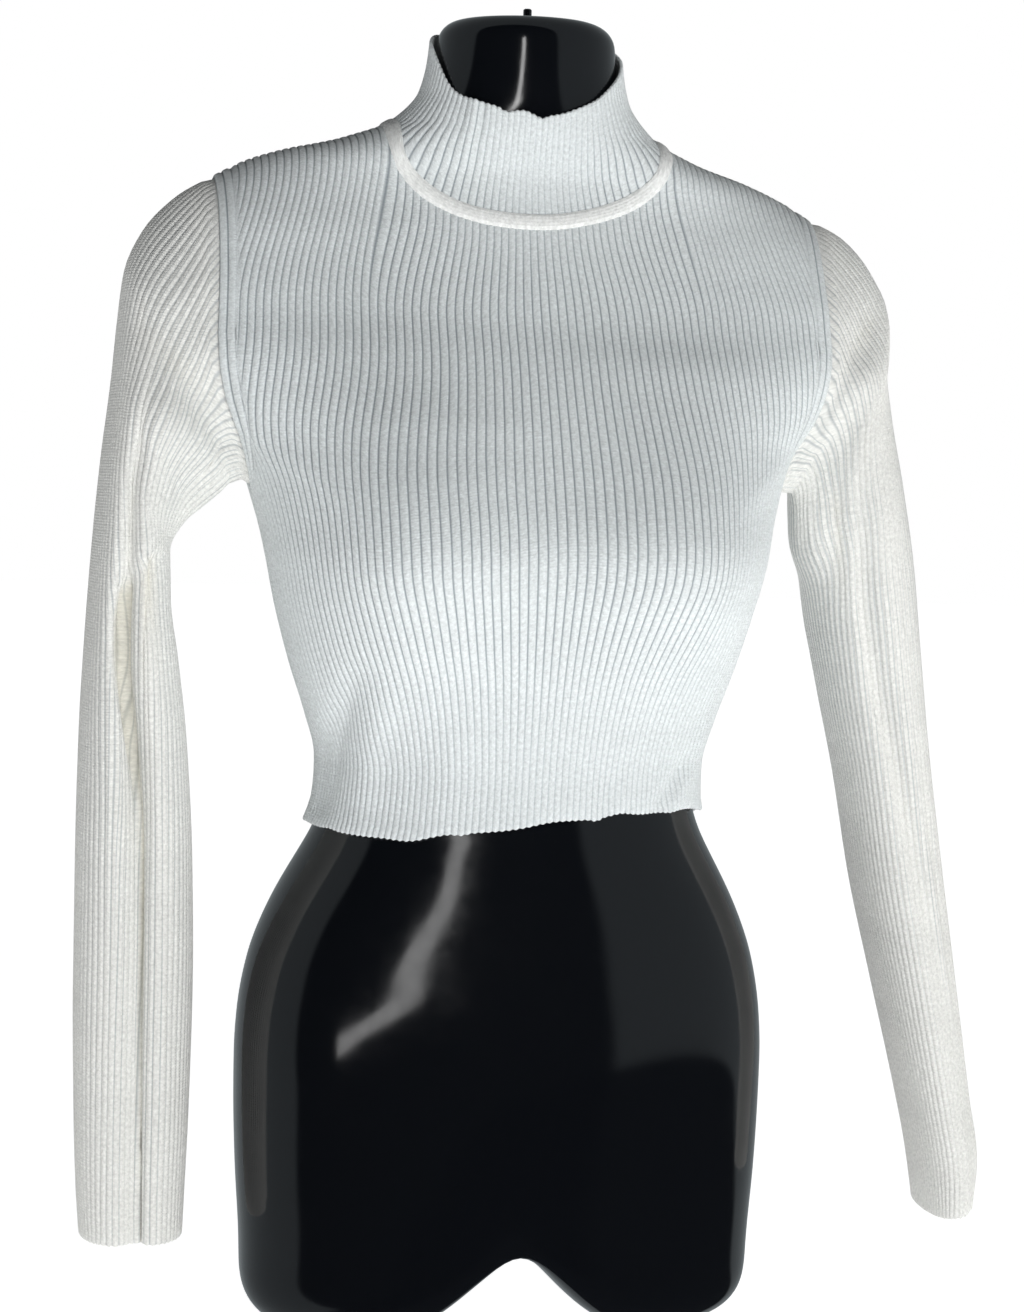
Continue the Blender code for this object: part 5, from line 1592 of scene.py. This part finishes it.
def set_floor(settings):
    """Lay a wide pale floor under the form's two stubs, left out of reflections."""
    bpy.ops.object.select_all(action="DESELECT")
    bpy.ops.mesh.primitive_circle_add(
        vertices=96, radius=FLOOR_RADIUS, fill_type="NGON", location=(0.0, 0.0, FORM_LOW.z))
    floor = bpy.context.object
    floor.name = "floor"
    bpy.ops.object.transform_apply(location=True, rotation=True, scale=True)
    floor.data.materials.append(floor_material(settings))
    floor.visible_glossy = False


# ---------------------------------------------------------------- operators

class CROPTOP_OT_form(bpy.types.Operator):
    """Give the torso form and its neck stub their polished black skin"""

    bl_idname = "croptop.form"
    bl_label = "Torso form"

    def execute(self, context):
        settings = context.scene.croptop_form
        plastic = plastic_material("polished_black_abs", settings)
        skin = build_form("torso_skin", settings)
        skin.data.materials.append(plastic)
        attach(skin, "root")
        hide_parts("dress_form")
        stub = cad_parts["neck_hook_stub"]
        stub.data.materials.clear()
        stub.data.materials.append(plastic)
        return {"FINISHED"}


class CROPTOP_OT_panels(bpy.types.Operator):
    """Knit the front and back panels"""

    bl_idname = "croptop.panels"
    bl_label = "Front and back"

    def execute(self, context):
        settings = context.scene.croptop_knit
        knit = knit_material("combed_cotton_rib", settings, settings.yarn, 0.95)
        front = build_panel(FRONT, "front_panel_knit", settings)
        finish_sheet(front, "front_panel", knit)
        back = build_panel(BACK, "back_panel_knit", settings)
        finish_sheet(back, "back_panel", knit)
        return {"FINISHED"}


class CROPTOP_OT_sleeves(bpy.types.Operator):
    """Knit the two hanging sleeves"""

    bl_idname = "croptop.sleeves"
    bl_label = "Sleeves"

    def execute(self, context):
        settings = context.scene.croptop_knit
        # The sleeves take the creamier, brighter copy of the yarn's colour (painted light) and
        # fainter painted groove shade.
        knit = knit_material(
            "combed_cotton_sleeve_rib", settings, settings.sleeve_warm_lit_yarn, 0.55, between=0.5)
        for side, node in ((-1, "sleeve_left"), (1, "sleeve_right")):
            sleeve = build_sleeve(side, node + "_knit", settings)
            finish_sheet(sleeve, node, knit)
        return {"FINISHED"}


class CROPTOP_OT_neck(bpy.types.Operator):
    """Knit the standing collar and the rolled band at its foot"""

    bl_idname = "croptop.neck"
    bl_label = "Collar and neck band"

    def execute(self, context):
        settings = context.scene.croptop_knit
        knit = bpy.data.materials["combed_cotton_rib"]
        plain = knit_material("combed_cotton_jersey", settings, settings.band_yarn, 0.0)
        collar = build_collar("collar_knit", settings)
        finish_sheet(collar, "collar", knit)
        band = build_neck_band("neck_band_knit")
        finish_sheet(band, "neck_band", plain)
        return {"FINISHED"}


class CROPTOP_OT_stage(bpy.types.Operator):
    """Set the floor, the soft lights and the camera"""

    bl_idname = "croptop.stage"
    bl_label = "Stage"

    def execute(self, context):
        settings = context.scene.croptop_stage
        set_camera(settings)
        set_lights(settings)
        set_surround(settings)
        set_floor(settings)
        return {"FINISHED"}


class CROPTOP_PT_sidebar(bpy.types.Panel):
    """Sizes, colours and steps of the crop top"""

    bl_idname = "CROPTOP_PT_sidebar"
    bl_label = "Crop Top"
    bl_space_type = "VIEW_3D"
    bl_region_type = "UI"
    bl_category = "Crop Top"

    def draw(self, context):
        for group, steps in STEPS:
            box = self.layout.box()
            settings = getattr(context.scene, group)
            for name in settings.bl_rna.properties.keys():
                if name not in {"rna_type", "name"}:
                    box.prop(settings, name)
            for step in steps:
                box.operator(step.bl_idname)


STEPS = (
    ("croptop_form", (CROPTOP_OT_form,)),
    ("croptop_knit", (CROPTOP_OT_panels, CROPTOP_OT_sleeves, CROPTOP_OT_neck)),
    ("croptop_stage", (CROPTOP_OT_stage,)),
)
GROUPS = {
    "croptop_form": FormSettings,
    "croptop_knit": KnitSettings,
    "croptop_stage": StageSettings,
}
CLASSES = (
    FormSettings, KnitSettings, StageSettings,
    CROPTOP_OT_form, CROPTOP_OT_panels, CROPTOP_OT_sleeves, CROPTOP_OT_neck, CROPTOP_OT_stage,
    CROPTOP_PT_sidebar,
)


def register():
    for cls in CLASSES:
        bpy.utils.register_class(cls)
    for name, group in GROUPS.items():
        setattr(bpy.types.Scene, name, bpy.props.PointerProperty(type=group))


def unregister():
    for name in GROUPS:
        delattr(bpy.types.Scene, name)
    for cls in reversed(CLASSES):
        bpy.utils.unregister_class(cls)


def main():
    register()
    bpy.ops.croptop.form()
    bpy.ops.croptop.panels()
    bpy.ops.croptop.sleeves()
    bpy.ops.croptop.neck()
    bpy.ops.croptop.stage()


if __name__ == "__main__":
    main()
